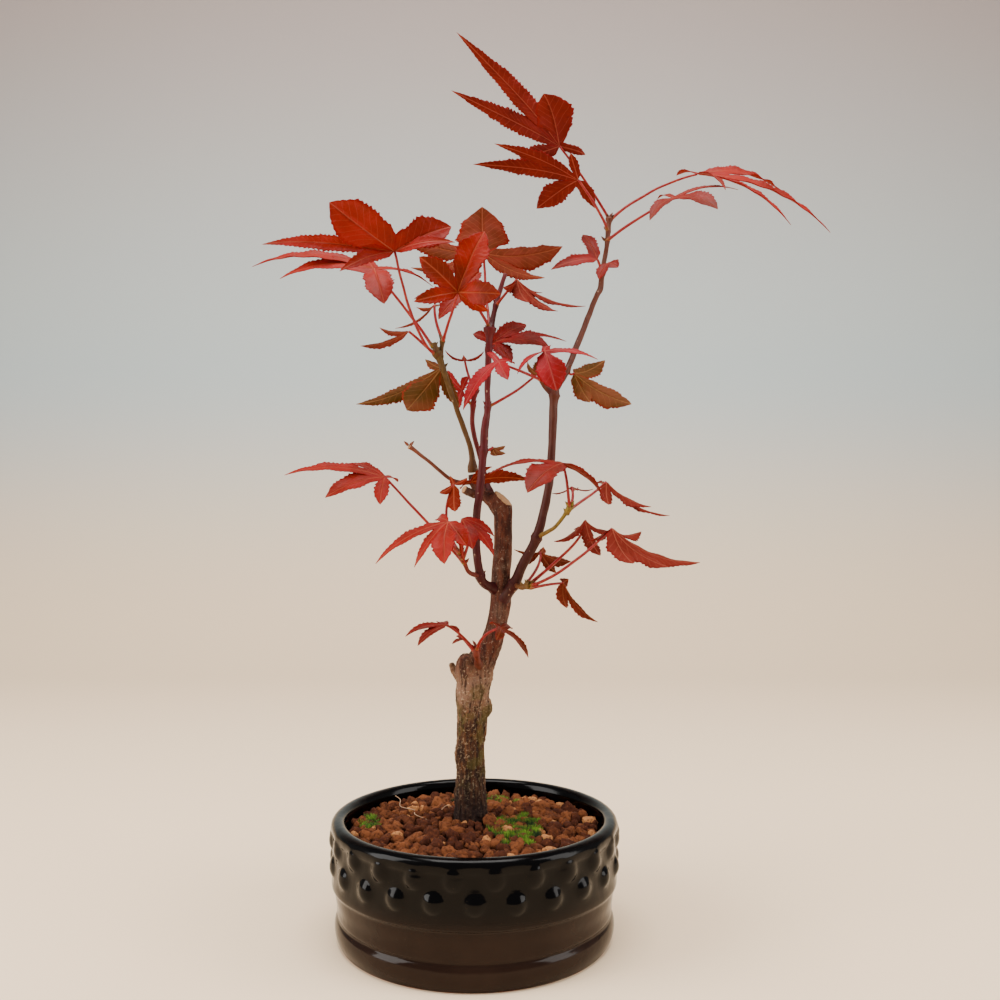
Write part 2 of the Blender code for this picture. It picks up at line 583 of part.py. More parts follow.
def build_leaves():
    for name, (stem, attach, middle, hub, rows) in LEAVES.items():
        tint = LEAF_TINTS.get(name, LEAF_RED)
        leaf = add_part(name, mesh_from(name, blade_sheet(rows)), tint, 0.55)
        leaf.location = Vector(hub) * MM
        shell = leaf.modifiers.new("Thickness", "SOLIDIFY")
        shell.thickness = BLADE_THICKNESS * MM
        shell.offset = 0.0
        tube = petiole_tube(stem, Vector(attach), Vector(middle), Vector(hub))
        petiole = add_cutter(name + "_petiole", tube_mesh(name + "_petiole", tube, 0))
        combine(leaf, petiole, "UNION").use_self = True


clear_scene()
parts = make_collection("maple_bonsai")
cutters = make_collection("cutters")
build_pot()
build_drainage_mesh()
build_soil()
build_moss()
build_stems()
build_leaves()
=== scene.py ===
"""Looks of the red Japanese maple bonsai: fine leaves, bark, glazed pot, granular soil and moss.

Tables and working lengths are in millimetres, in the CAD model's own frame.
"""
import json
import math
import random

import bmesh
import bpy
import numpy as np
from mathutils import Matrix, Vector, noise


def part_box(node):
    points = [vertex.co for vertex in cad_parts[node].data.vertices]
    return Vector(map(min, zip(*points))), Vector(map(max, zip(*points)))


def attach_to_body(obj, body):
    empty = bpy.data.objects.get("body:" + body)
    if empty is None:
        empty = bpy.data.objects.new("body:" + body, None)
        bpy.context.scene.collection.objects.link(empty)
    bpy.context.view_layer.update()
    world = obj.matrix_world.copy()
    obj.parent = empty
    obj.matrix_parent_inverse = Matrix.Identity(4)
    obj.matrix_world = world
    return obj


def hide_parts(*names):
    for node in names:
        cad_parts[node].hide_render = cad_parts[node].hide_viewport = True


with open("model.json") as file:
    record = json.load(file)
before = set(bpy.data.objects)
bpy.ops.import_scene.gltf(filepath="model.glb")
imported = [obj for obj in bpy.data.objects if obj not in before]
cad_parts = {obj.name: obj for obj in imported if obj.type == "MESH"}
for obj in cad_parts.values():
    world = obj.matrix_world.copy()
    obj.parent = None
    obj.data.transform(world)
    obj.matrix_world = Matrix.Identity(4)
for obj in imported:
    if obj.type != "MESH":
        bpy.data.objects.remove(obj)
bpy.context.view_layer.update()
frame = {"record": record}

MM = 0.001
BODY = "root"
NOISE_SEED = 1
noise.seed_set(NOISE_SEED)      # noise_vector takes its offsets from the clock without a seed

# Each stem: the stem that it grows from, then its tubes, each a list of (x, y, z, radius).
STEMS = {
    "trunk": (None, [
        [(-2, 8, 22, 3.0), (-2, 8, 32, 6.5), (-2, 8, 42, 8.6), (-2, 8, 49, 8.2), (-2, 8, 54, 7.8),
         (-2, 8, 65, 7.2), (-2, 8, 77, 7.1), (-1, 7, 96, 7.4), (-1, 6, 105, 7.9), (0, 5, 114, 7.8),
         (2, 4, 122, 6.9), (7, 3, 131, 5.3),
         (10, 2, 140, 4.6), (12, 1, 152, 4.9), (12, 0, 164, 4.4), (13, 0, 177, 4.2), (13, 0, 198, 4.1)],
        [(12, 0, 193, 3.9), (8, 3, 198, 3.5), (3, 6, 202, 3.0), (0, 7, 206, 2.6), (-1, 7, 210, 2.2)],
        [(4, 5, 200, 2.2), (-1, 2, 201, 1.9), (-5, -1, 203, 1.8)],
        [(-2, 5, 114, 6.0), (-4, 1, 122, 5.0), (-5, -1, 127, 2.6)],
    ]),
    "left_shoot": ("trunk", [
        [(-1, 7, 211, 1.6), (-2, 5, 222, 1.3), (-8, -2, 239, 1.2), (-12, -8, 251, 1.2), (-15, -12, 260, 1.2),
         (-17, -13, 264, 1.3)],
        [(-16, -13, 262, 1.1), (-18, -14, 268, 1.0)],
        [(-15, -12, 260, 1.0), (-14, -12, 270, 0.8)],
    ]),
    "inner_shoot": ("trunk", [
        [(7, 4, 200, 1.6), (5, 8, 208, 1.2), (2, 9, 219, 1.1), (-1, 9, 231, 1.1), (-1, 9, 242, 1.1),
         (0, 10, 248, 0.9)],
    ]),
    "centre_shoot": ("trunk", [
        [(10, 0, 157, 2.3), (4, -9, 161, 2.0), (2, -12, 168, 1.9), (1, -12, 177, 1.8), (1, -12, 189, 1.8),
         (3, -11, 207, 1.8), (4, -10, 218, 1.8), (5, -9, 232, 1.8), (6, -8, 239, 1.4), (6, -7, 252, 1.4),
         (7, -5, 276, 1.6)],
        [(7, -5, 274, 1.4), (9, -2, 284, 1.2), (11, 0, 292, 1.1), (14, 2, 302, 1.0)],
    ]),
    "right_shoot": ("trunk", [
        [(12, 0, 152, 2.9), (18, -5, 160, 2.5), (22, -7, 169, 2.2), (28, -9, 181, 2.2), (32, -9, 196, 1.9),
         (34, -9, 208, 1.8), (35, -9, 223, 1.8), (36, -8, 245, 2.0), (38, -7, 250, 1.6), (42, -4, 257, 1.4),
         (47, 2, 269, 1.4), (53, 8, 284, 1.3), (57, 12, 294, 1.3), (59, 14, 298, 1.4), (60, 16, 306, 1.2),
         (62, 18, 317, 1.1), (64, 22, 333, 1.0)],
        [(36, -8, 245, 1.5), (32, -8, 249, 1.2), (30, -9, 253, 1.0)],
    ]),
    "dead_twig": ("trunk", [
        [(0, 7, 206, 1.2), (-10, 2, 207, 0.9), (-20, -6, 215, 0.8), (-29, -12, 222, 0.9)],
    ]),
    "front_left_twig": ("centre_shoot", [
        [(3, -11, 164, 1.2), (-2, -16, 166, 1.0), (-4, -20, 170, 0.9), (-6, -25, 175, 0.8)],
    ]),
    "upper_right_twig": ("right_shoot", [
        [(28, -9, 181, 1.1), (33, -14, 184, 0.9), (37, -17, 187, 0.8), (42, -24, 195, 0.8)],
    ]),
    "lower_right_twig": ("right_shoot", [
        [(18, -5, 160, 1.3), (21, -11, 159, 1.1), (25, -15, 160, 1.0)],
    ]),
    "low_bud": ("trunk", [
        [(2, 0, 122, 1.5), (1, -7, 128, 1.1), (1, -8, 132, 0.9)],
    ]),
}

# Each leaf: its stem, where the petiole leaves it, the petiole's middle, the hub where the lobes
# meet, and the lobes, anticlockwise seen from the upper face: the tip from the hub, and the width.
LEAVES = {
    "left_top": ("left_shoot", (-17, -13, 263), (-25, -26, 274), (-33, -38, 303),
        [(26, -8, 2, 7), (24, 2, 11, 15), (-26, -10, 18, 20), (-57, 4, 4, 8), (-22, -8, -10, 8)]),
    "left_upper": ("left_shoot", (-18, -14, 266), (-29, -14, 281), (-44, -18, 300),
        [(25, 14, -5, 7), (-13, 24, 9, 8), (-57, 14, 4, 11), (-42, 2, -4, 11), (6, -14, -18, 14)]),
    "left_arching": ("left_shoot", (-17, -13, 263), (-23, -13, 268), (-29, -14, 273),
        [(-21, -4, -7, 8), (-14, 8, 3, 5)]),
    "left_olive": ("left_shoot", (-14, -11, 257), (-14, -7, 257), (-15, -4, 258),
        [(8, 4, -17, 8), (-15, -9, -20, 17), (-38, -6, -17, 10), (-8, 8, 5, 5)]),
    "left_inner": ("left_shoot", (-14, -12, 269), (-17, -10, 278), (-18, -8, 286),
        [(-18, 4, -10, 5), (-9, 12, 1, 4), (5, 10, 4, 4)]),
    "front_centre": ("left_shoot", (-14, -12, 269), (-10, -30, 276), (-6, -42, 285),
        [(13, 0, -8, 6), (18, -12, -3, 12), (11, 2, 26, 15), (-16, -4, 14, 11), (-18, -6, -5, 8)]),
    "behind_centre": ("centre_shoot", (7, -5, 276), (1, -14, 285), (-3, -20, 289),
        [(5, -6, -7, 6), (6, 14, 12, 7), (-10, 20, 10, 7), (-23, -2, -3, 8), (-12, -8, -13, 9)]),
    "top_centre": ("centre_shoot", (7, -5, 275), (5, 6, 295), (4, 10, 313),
        [(-33, -12, -9, 9), (-40, 4, 12, 14), (-1, 18, 27, 26), (37, 2, 4, 18), (28, -14, -14, 9)]),
    "right_of_stub": ("centre_shoot", (10, -1, 287), (14, -8, 291), (19, -10, 297),
        [(-6, -12, -6, 7), (12, 10, -4, 5), (31, 0, -12, 8), (18, -10, -16, 10), (5, -15, -13, 9)]),
    "inner_small": ("inner_shoot", (0, 10, 247), (-3, 15, 256), (-5, 16, 264),
        [(-9, -6, 4, 6), (-1, 10, 4, 3), (9, -2, 4, 6)]),
    "inner_pink": ("inner_shoot", (-1, 9, 242), (-4, 8, 245), (-6, 7, 249),
        [(3, -4, 6, 5), (-7, 6, 10, 6), (-2, 4, -8, 7)]),
    "front_pink": ("right_shoot", (30, -9, 252), (22, -20, 254), (11, -26, 258),
        [(7, 8, 0, 5), (-5, 8, 5, 4), (-15, -12, -22, 9), (4, -10, -9, 7)]),
    "centre_right": ("centre_shoot", (7, -6, 266), (7, 2, 268), (8, 7, 271),
        [(9, -12, -11, 9), (26, -9, -3, 14), (35, 9, 2, 5), (16, 9, 10, 10), (-9, -1, 4, 7)]),
    "fork_pink": ("right_shoot", (30, -9, 252), (31, -17, 257), (31, -24, 263),
        [(5, -6, -18, 14), (23, -2, -4, 4), (3, 18, 3, 4), (-12, -8, -11, 6)]),
    "fork_brown": ("centre_shoot", (6, -8, 240), (17, -7, 246), (28, -4, 255),
        [(-4, -6, 5, 5), (4, 10, 9, 6), (10, 5, 3, 4)]),
    "right_olive": ("right_shoot", (42, -4, 257), (44, 3, 256), (46, 9, 257),
        [(16, 14, 8, 11), (26, -8, -15, 15), (7, -6, -14, 9)]),
    "crown_top": ("right_shoot", (64, 22, 332), (55, 20, 346), (40, 18, 366),
        [(-19, 6, -4, 10), (-52, 9, 30, 10), (-49, -3, 53, 11), (-8, -8, 22, 20), (12, -3, -5, 5)]),
    "crown_second": ("right_shoot", (63, 20, 326), (57, 14, 336), (48, 8, 347),
        [(9, 12, -10, 7), (-19, 12, -10, 13), (-49, 2, 8, 10), (-39, -9, 14, 8), (-4, -8, 10, 5)]),
    "crown_right": ("right_shoot", (64, 22, 332), (84, 24, 346), (106, 22, 354),
        [(9, -22, -14, 7), (40, -18, -29, 9), (65, 4, -27, 12), (48, 26, -2, 14), (-8, 12, 3, 6)]),
    "crown_right_lower": ("right_shoot", (62, 19, 321), (77, 10, 330), (92, 6, 338),
        [(-13, -14, -14, 8), (17, -18, -10, 13), (31, 4, 5, 5), (-5, 16, 4, 4)]),
    "node_left": ("right_shoot", (60, 16, 306), (58, 11, 309), (57, 8, 310),
        [(-6, 10, 14, 8), (-22, -6, -6, 8)]),
    "node_right": ("right_shoot", (60, 16, 305), (62, 9, 307), (62, 6, 308),
        [(-5, -6, -9, 6), (4, -4, -3, 7)]),
    "mid_left": ("front_left_twig", (-4, -21, 170), (-20, -24, 188), (-39, -20, 208),
        [(5, 8, -2, 5), (-24, 22, 5, 8), (-45, 4, 1, 10), (-25, -8, -9, 12), (-1, -10, -12, 8)]),
    "front_left": ("front_left_twig", (-6, -25, 175), (-10, -36, 181), (-10, -42, 189),
        [(-6, 16, 0, 5), (-31, 4, -18, 8), (-14, -4, -19, 6), (-1, -14, -17, 12), (8, -8, -10, 9)]),
    "front_left_second": ("front_left_twig", (-5, -23, 172), (-2, -25, 182), (-5, -26, 190),
        [(2, -5, -21, 3), (5, -10, -13, 9), (14, -6, -16, 8), (14, 8, -8, 7)]),
    "small_orange": ("front_left_twig", (-6, -25, 175), (-12, -18, 190), (-9, -14, 205),
        [(1, -10, -12, 7), (-6, -4, -4, 5), (-2, 8, 4, 3), (6, 4, 3, 4)]),
    "arm_orange": ("trunk", (0, 7, 206), (-1, 1, 207), (-2, -3, 206),
        [(-4, -6, -3, 5), (10, -4, 7, 5), (27, 2, 1, 9)]),
    "tiny_centre": ("centre_shoot", (4, -10, 220), (7, -5, 221), (8, -2, 222),
        [(6, 6, 1, 4), (6, -4, -3, 5), (2, -5, -4, 4)]),
    "mid_right_top": ("upper_right_twig", (42, -23, 194), (41, -27, 203), (39, -26, 214),
        [(17, -13, -17, 11), (-9, 18, -2, 6), (-32, -8, -5, 7), (-16, -18, -13, 15)]),
    "mid_right_far": ("upper_right_twig", (42, -23, 194), (50, -18, 199), (59, -14, 206),
        [(-1, 14, 1, 6), (29, 6, -15, 9), (19, -6, -11, 10), (0, -10, -10, 7)]),
    "mid_right_small": ("upper_right_twig", (41, -22, 192), (44, -12, 198), (44, -6, 204),
        [(-9, -3, -3, 4), (4, 14, 0, 3), (10, 2, -1, 4)]),
    "right_low_upper": ("lower_right_twig", (24, -14, 160), (44, -15, 178), (49, -20, 189),
        [(-14, -6, -9, 12), (-2, 14, -3, 7), (12, 6, -5, 10), (6, -8, -15, 10)]),
    "right_long": ("lower_right_twig", (25, -15, 160), (40, -30, 169), (59, -38, 186),
        [(-10, 7, -5, 8), (15, 20, -2, 9), (39, 10, -15, 13), (23, -6, -16, 13), (7, -14, -14, 13)]),
    "right_low_inner": ("lower_right_twig", (22, -12, 159), (29, -3, 168), (30, 2, 174),
        [(-11, 0, -6, 4), (-12, 6, 1, 3), (2, 10, 2, 4), (14, -4, -4, 9), (7, -8, -9, 5)]),
    "right_lowest": ("lower_right_twig", (25, -15, 159), (33, -22, 161), (39, -26, 162),
        [(3, 10, 1, 5), (15, 0, -17, 8), (1, -8, -10, 8)]),
    "low_left": ("low_bud", (1, -7, 129), (-6, -14, 138), (-12, -20, 143),
        [(6, -2, -3, 6), (-4, 12, -1, 5), (-18, 0, -5, 9), (-12, -8, -8, 7)]),
    "low_right": ("low_bud", (1, -8, 130), (5, -16, 138), (12, -22, 142),
        [(-2, -10, -4, 6), (12, 0, -13, 8), (5, 12, -2, 4), (-5, 6, 1, 5)]),
    "low_tiny": ("low_bud", (1, -7, 128), (-3, -6, 133), (-5, -5, 135),
        [(-3, 4, 1, 3), (-5, -2, -2, 3)]),
}


# Looks of the leaves: upper face, its darker patches, under face, veins, margin; sRGB 0 to 255
LEAF_LOOKS = {
    "red": ((140, 34, 28), (116, 32, 24), (120, 40, 32), (162, 80, 60), (122, 16, 20)),
    "dusky": ((118, 32, 26), (96, 34, 26), (106, 38, 30), (148, 76, 58), (110, 14, 20)),
    "crimson": ((124, 30, 28), (96, 30, 24), (108, 34, 28), (150, 70, 54), (114, 14, 20)),
    "orange": ((134, 32, 20), (102, 34, 20), (118, 38, 26), (162, 80, 52), (120, 18, 18)),
    "brown": ((106, 34, 20), (84, 38, 20), (104, 42, 28), (142, 74, 50), (126, 22, 22)),
    "pink": ((142, 26, 34), (118, 26, 28), (130, 36, 38), (166, 80, 72), (130, 14, 24)),
    "olive": ((102, 52, 30), (78, 54, 26), (106, 60, 38), (138, 94, 58), (140, 32, 30)),
}
LOOK_LEAVES = {                     # the other leaves are dusky
    "red": "left_top left_upper mid_left front_left crown_right",
    "crimson": "crown_top crown_second node_left node_right centre_right front_left_second inner_small",
    "orange": "front_centre arm_orange small_orange",
    "brown": "left_arching top_centre low_right right_low_inner right_lowest left_inner",
    "pink": "inner_pink front_pink fork_pink",
    "olive": "left_olive right_olive tiny_centre fork_brown",
}
LEAF_LOOK_OF = {name: look for look, names in LOOK_LEAVES.items() for name in names.split()}

# Looks of the shoots: colour at the base and at the tip
SHOOT_LOOKS = {
    "left_shoot": ((88, 56, 30), (86, 66, 34)),
    "inner_shoot": ((76, 24, 24), (110, 26, 28)),
    "centre_shoot": ((58, 14, 18), (92, 20, 26)),
    "right_shoot": ((58, 18, 20), (96, 50, 32)),
    "dead_twig": ((92, 38, 30), (120, 66, 48)),
    "front_left_twig": ((92, 36, 30), (112, 44, 34)),
    "upper_right_twig": ((112, 82, 40), (132, 112, 46)),
    "lower_right_twig": ((84, 34, 28), (112, 82, 42)),
    "low_bud": ((88, 50, 36), (112, 44, 34)),
}


# Geometry

def spline(points, spacing):
    """Points (x, y, z, radius) along a smooth curve through the given ones, about a spacing apart."""
    given = np.array(points, float)
    ends = np.vstack([2 * given[0] - given[1], given, 2 * given[-1] - given[-2]])
    out = [given[0]]
    for a, b, c, d in zip(ends, ends[1:], ends[2:], ends[3:]):
        count = max(1, int(round(np.linalg.norm((c - b)[:3]) / spacing)))
        for k in range(1, count + 1):
            t = k / count
            out.append(0.5 * (2 * b + (c - a) * t + (2 * a - 5 * b + 4 * c - d) * t * t
                              + (3 * b - a - 3 * c + d) * t ** 3))
    return np.array(out)


def lengths_along(points):
    steps = np.linalg.norm(np.diff(points[:, :3], axis=0), axis=1)
    return np.concatenate([[0.0], np.cumsum(steps)])


def grid_faces(rows, columns, closed=False):
    """Quads of a grid of points, row by row; closed joins the last column to the first."""
    row = np.arange(rows - 1)[:, None]
    column = np.arange(columns if closed else columns - 1)[None, :]
    after = (column + 1) % columns
    quads = np.stack([row * columns + column, row * columns + after,
                      (row + 1) * columns + after, (row + 1) * columns + column], axis=-1)
    return [tuple(quad) for quad in quads.reshape(-1, 4).tolist()]


def tube_shell(points, sides):
    """Closed tube along (x, y, z, radius) points: vertices, faces, and each vertex's length along it."""
    centre = points[:, :3]
    radii = points[:, 3]
    tangents = np.gradient(centre, axis=0)
    tangents /= np.linalg.norm(tangents, axis=1)[:, None]
    start = np.cross(tangents[0], (0.0, 1.0, 0.0) if abs(tangents[0][1]) < 0.9 else (1.0, 0.0, 0.0))
    normal = start / np.linalg.norm(start)
    angles = 2 * np.pi * np.arange(sides) / sides
    rings = []
    for at, tangent, radius in zip(centre, tangents, radii):
        normal = normal - tangent * normal.dot(tangent)
        normal /= np.linalg.norm(normal)
        other = np.cross(tangent, normal)
        rings.append(at + radius * (np.cos(angles)[:, None] * normal + np.sin(angles)[:, None] * other))
    verts = np.vstack(rings + [centre[:1], centre[-1:]])
    faces = grid_faces(len(points), sides, closed=True)
    last = (len(points) - 1) * sides
    first_cap = len(verts) - 2
    faces += [((k + 1) % sides, k, first_cap) for k in range(sides)]
    faces += [(last + k, last + (k + 1) % sides, first_cap + 1) for k in range(sides)]
    along = lengths_along(points)
    return verts, faces, np.concatenate([np.repeat(along, sides), along[:1], along[-1:]])


def shell_mesh(verts, faces, slot=0, blade=None, edge=None):
    """Mesh of one shell in metres, with its material slot and its two maps of measures."""
    mesh = bpy.data.meshes.new("shell")
    mesh.from_pydata((np.asarray(verts) * MM).tolist(), [], faces)
    mesh.polygons.foreach_set("material_index", [slot] * len(mesh.polygons))
    corners = np.empty(len(mesh.loops), int)
    mesh.loops.foreach_get("vertex_index", corners)
    for name, values in (("blade", blade), ("edge", edge)):
        layer = mesh.uv_layers.new(name=name)
        if values is not None:
            layer.data.foreach_set("uv", np.asarray(values, float)[corners].ravel())
    return mesh


def joined(name, shells, materials):
    """One object from several shells."""
    shape = bmesh.new()
    for shell in shells:
        shape.from_mesh(shell)
        bpy.data.meshes.remove(shell)
    mesh = mesh_of(shape, name)
    for material in materials:
        mesh.materials.append(material)
    mesh.shade_smooth()
    item = bpy.data.objects.new(name, mesh)
    bpy.context.scene.collection.objects.link(item)
    return item


def shape_of(mesh):
    """The mesh as a shape to edit, in place of the mesh."""
    shape = bmesh.new()
    shape.from_mesh(mesh)
    bpy.data.meshes.remove(mesh)
    return shape


def mesh_of(shape, name):
    """The mesh of an edited shape, in place of the shape."""
    mesh = bpy.data.meshes.new(name)
    shape.to_mesh(mesh)
    shape.free()
    for layer in ("blade", "edge"):
        if layer not in mesh.uv_layers:
            mesh.uv_layers.new(name=layer)
    return mesh


def evaluated_mesh(item):
    """The item's mesh with its modifiers, in place of the item."""
    bpy.context.view_layer.update()
    result = bpy.data.meshes.new_from_object(item.evaluated_get(bpy.context.evaluated_depsgraph_get()))
    bpy.data.objects.remove(item, do_unlink=True)
    return result


def declare(item, slot, *nodes):
    """Ties a finished piece to the body and hides the CAD nodes it stands for; its record slot is not used.
    """
    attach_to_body(item, BODY)
    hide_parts(*nodes)


def slot_of(node):
    return next(part["material_slot"] for part in frame["record"]["subparts"] if part["node"] == node)


def wobble(verts, size, height, seed):
    """Verts moved by smooth noise of a size and height."""
    shift = Vector((seed * 7.1, seed * 3.7, seed * 5.3))
    moves = [noise.noise_vector(Vector(v) / size + shift) for v in verts.tolist()]
    return verts + np.array(moves) * height


# Materials

def linear(colour):
    return tuple((c / 255.0) ** 2.2 for c in colour) + (1.0,)


class Shader:
    """Short ways to add nodes to one material."""

    def __init__(self, name, roughness, **constants):
        self.material = bpy.data.materials.new(name)
        self.material.use_nodes = True
        self.nodes = self.material.node_tree.nodes
        self.surface = self.nodes["Principled BSDF"]
        self.surface.inputs["Roughness"].default_value = roughness
        for socket, value in constants.items():
            self.surface.inputs[socket.replace("_", " ")].default_value = value

    def link(self, source, target):
        self.material.node_tree.links.new(source, target)

    def node(self, kind, inputs=(), **settings):
        made = self.nodes.new(kind)
        for key, value in settings.items():
            setattr(made, key, value)
        for socket, value in inputs:
            if isinstance(value, bpy.types.NodeSocket):
                self.link(value, made.inputs[socket])
            else:
                made.inputs[socket].default_value = value
        return made

    def place(self):
        return self.node("ShaderNodeTexCoord").outputs["Object"]

    def split(self, vector):
        return self.node("ShaderNodeSeparateXYZ", [(0, vector)]).outputs

    def map(self, name):
        uv = self.node("ShaderNodeUVMap", uv_map=name)
        return self.split(uv.outputs[0])

    def math(self, operation, first, second=0.0, third=0.0):
        sockets = [(0, first), (1, second), (2, third)]
        return self.node("ShaderNodeMath", sockets, operation=operation).outputs[0]

    def band(self, value, low, high, most=1.0):
        """0 below low, most above high; low may be above high."""
        sockets = [("Value", value), ("From Min", low), ("From Max", high), ("To Max", most)]
        return self.node("ShaderNodeMapRange", sockets, interpolation_type="SMOOTHSTEP").outputs[0]

    def scaled(self, vector, x, y, z):
        return self.node("ShaderNodeMapping", [("Vector", vector), ("Scale", (x, y, z))]).outputs[0]

    def noise(self, vector, scale, detail=3.0, roughness=0.55):
        sockets = [("Vector", vector), ("Scale", scale), ("Detail", detail), ("Roughness", roughness)]
        return self.node("ShaderNodeTexNoise", sockets).outputs[0]

    def cells(self, vector, scale, feature="F1", output="Distance"):
        sockets = [("Vector", vector), ("Scale", scale)]
        return self.node("ShaderNodeTexVoronoi", sockets, feature=feature).outputs[output]

    def mix(self, amount, first, second):
        sockets = [(0, amount)]
        made = self.node("ShaderNodeMix", sockets, data_type="RGBA")
        for socket, value in ((made.inputs[6], first), (made.inputs[7], second)):
            if isinstance(value, bpy.types.NodeSocket):
                self.link(value, socket)
            else:
                socket.default_value = linear(value)
        return made.outputs[2]

    def colour(self, socket):
        self.link(socket, self.surface.inputs["Base Color"])

    def rough(self, socket):
        self.link(socket, self.surface.inputs["Roughness"])

    def bump(self, height, strength, distance):
        """Bump of a height in millimetres."""
        sockets = [("Height", height), ("Strength", strength), ("Distance", distance * MM)]
        self.link(self.node("ShaderNodeBump", sockets).outputs[0], self.surface.inputs["Normal"])


SIDE_VEIN_SPACING = 3.4


def leaf_material(look, under):
    """Upper or under face of a blade: branching side veins, tinted margin, patches and fine net."""
    upper, patch, below, vein, margin = LEAF_LOOKS[look]
    shader = Shader("leaf_%s_%s" % (look, "under" if under else "upper"), 0.6 if under else 0.45,
                    Specular_IOR_Level=0.03 if under else 0.08)
    along, across, _ = shader.map("blade")
    _, out, _ = shader.map("edge")
    side = shader.math("ABSOLUTE", across)
    place = shader.place()
    bend = shader.math("MULTIPLY_ADD", shader.noise(place, 120.0), 3.0, along)
    slant = shader.math("MULTIPLY_ADD", side, -0.95, bend)
    repeat = shader.math("PINGPONG", slant, SIDE_VEIN_SPACING / 2)
    side_vein = shader.band(repeat, 0.26, 0.04)
    side_vein = shader.math("MULTIPLY", side_vein, shader.band(out, 1.0, 0.75))
    midrib = shader.band(side, 0.45, 0.12)
    veins = shader.math("MAXIMUM", shader.math("MULTIPLY", side_vein, 0.45), midrib)
    blotch = shader.band(shader.noise(place, 60.0, 5.0, 0.6), 0.38, 0.66)
    face = shader.mix(blotch, below if under else upper, patch)
    face = shader.mix(shader.band(out, 0.8, 1.0, 0.7), face, margin)
    face = shader.mix(shader.math("MULTIPLY", veins, 0.75 if under else 0.45), face, vein)
    specks = shader.band(shader.noise(place, 700.0, 2.0), 0.72, 0.8)
    shader.colour(shader.mix(shader.math("MULTIPLY", specks, 0.5), face, (70, 36, 22)))
    net = shader.cells(place, 900.0, "DISTANCE_TO_EDGE")
    relief = shader.math("MULTIPLY_ADD", shader.band(net, 0.0, 0.2), 0.3, shader.noise(place, 260.0))
    relief = shader.math("MULTIPLY_ADD", veins, 1.2 if under else -1.2, relief)
    shader.bump(relief, 0.4, 0.16)
    return shader.material


def petiole_material():
    shader = Shader("petiole", 0.45, Specular_IOR_Level=0.3)
    streak = shader.noise(shader.place(), 500.0)
    along, _, _ = shader.map("blade")
    base = shader.mix(shader.band(along, 4.0, 0.0), (128, 20, 26), (112, 92, 38))
    shader.colour(shader.mix(shader.band(streak, 0.45, 0.7), base, (150, 50, 40)))
    shader.bump(streak, 0.3, 0.2)
    return shader.material


def shoot_material(name, base, tip):
    """Smooth young bark with fine streaks along it and pale lenticels; it greens to the tip."""
    shader = Shader(name, 0.55, Specular_IOR_Level=0.22)
    along, _, _ = shader.map("blade")
    reach, _, _ = shader.map("edge")
    place = shader.place()
    streak = shader.noise(shader.scaled(place, 1.0, 1.0, 0.15), 900.0, 3.0)
    body = shader.mix(reach, base, tip)
    body = shader.mix(shader.band(streak, 0.4, 0.75, 0.5), body, (44, 22, 20))
    bloom = shader.noise(place, 160.0, 3.0)
    body = shader.mix(shader.band(bloom, 0.5, 0.7, 0.06), body, (140, 116, 100))
    spots = shader.band(shader.cells(shader.scaled(place, 1.0, 1.0, 0.6), 420.0), 0.22, 0.12)
    chosen = shader.band(shader.noise(place, 300.0, 1.0), 0.5, 0.6)
    lenticels = shader.math("MULTIPLY", spots, chosen)
    shader.colour(shader.mix(shader.math("MULTIPLY", lenticels, 0.65), body, (170, 140, 116)))
    ripple = shader.math("PINGPONG", along, 0.6)
    relief = shader.math("MULTIPLY_ADD", lenticels, 1.0, streak)
    shader.bump(shader.math("MULTIPLY_ADD", ripple, 0.1, relief), 0.5, 0.25)
    return shader.material


def cut_material():
    """Pale wood with its rings, where a stem was cut."""
    shader = Shader("cut_wood", 0.7)
    place = shader.place()
    grain = shader.noise(place, 700.0, 3.0)
    face = shader.mix(grain, (204, 160, 112), (166, 116, 76))
    stain = shader.band(shader.noise(place, 260.0), 0.55, 0.75)
    shader.colour(shader.mix(stain, face, (124, 88, 60)))
    shader.bump(grain, 0.4, 0.2)
    return shader.material


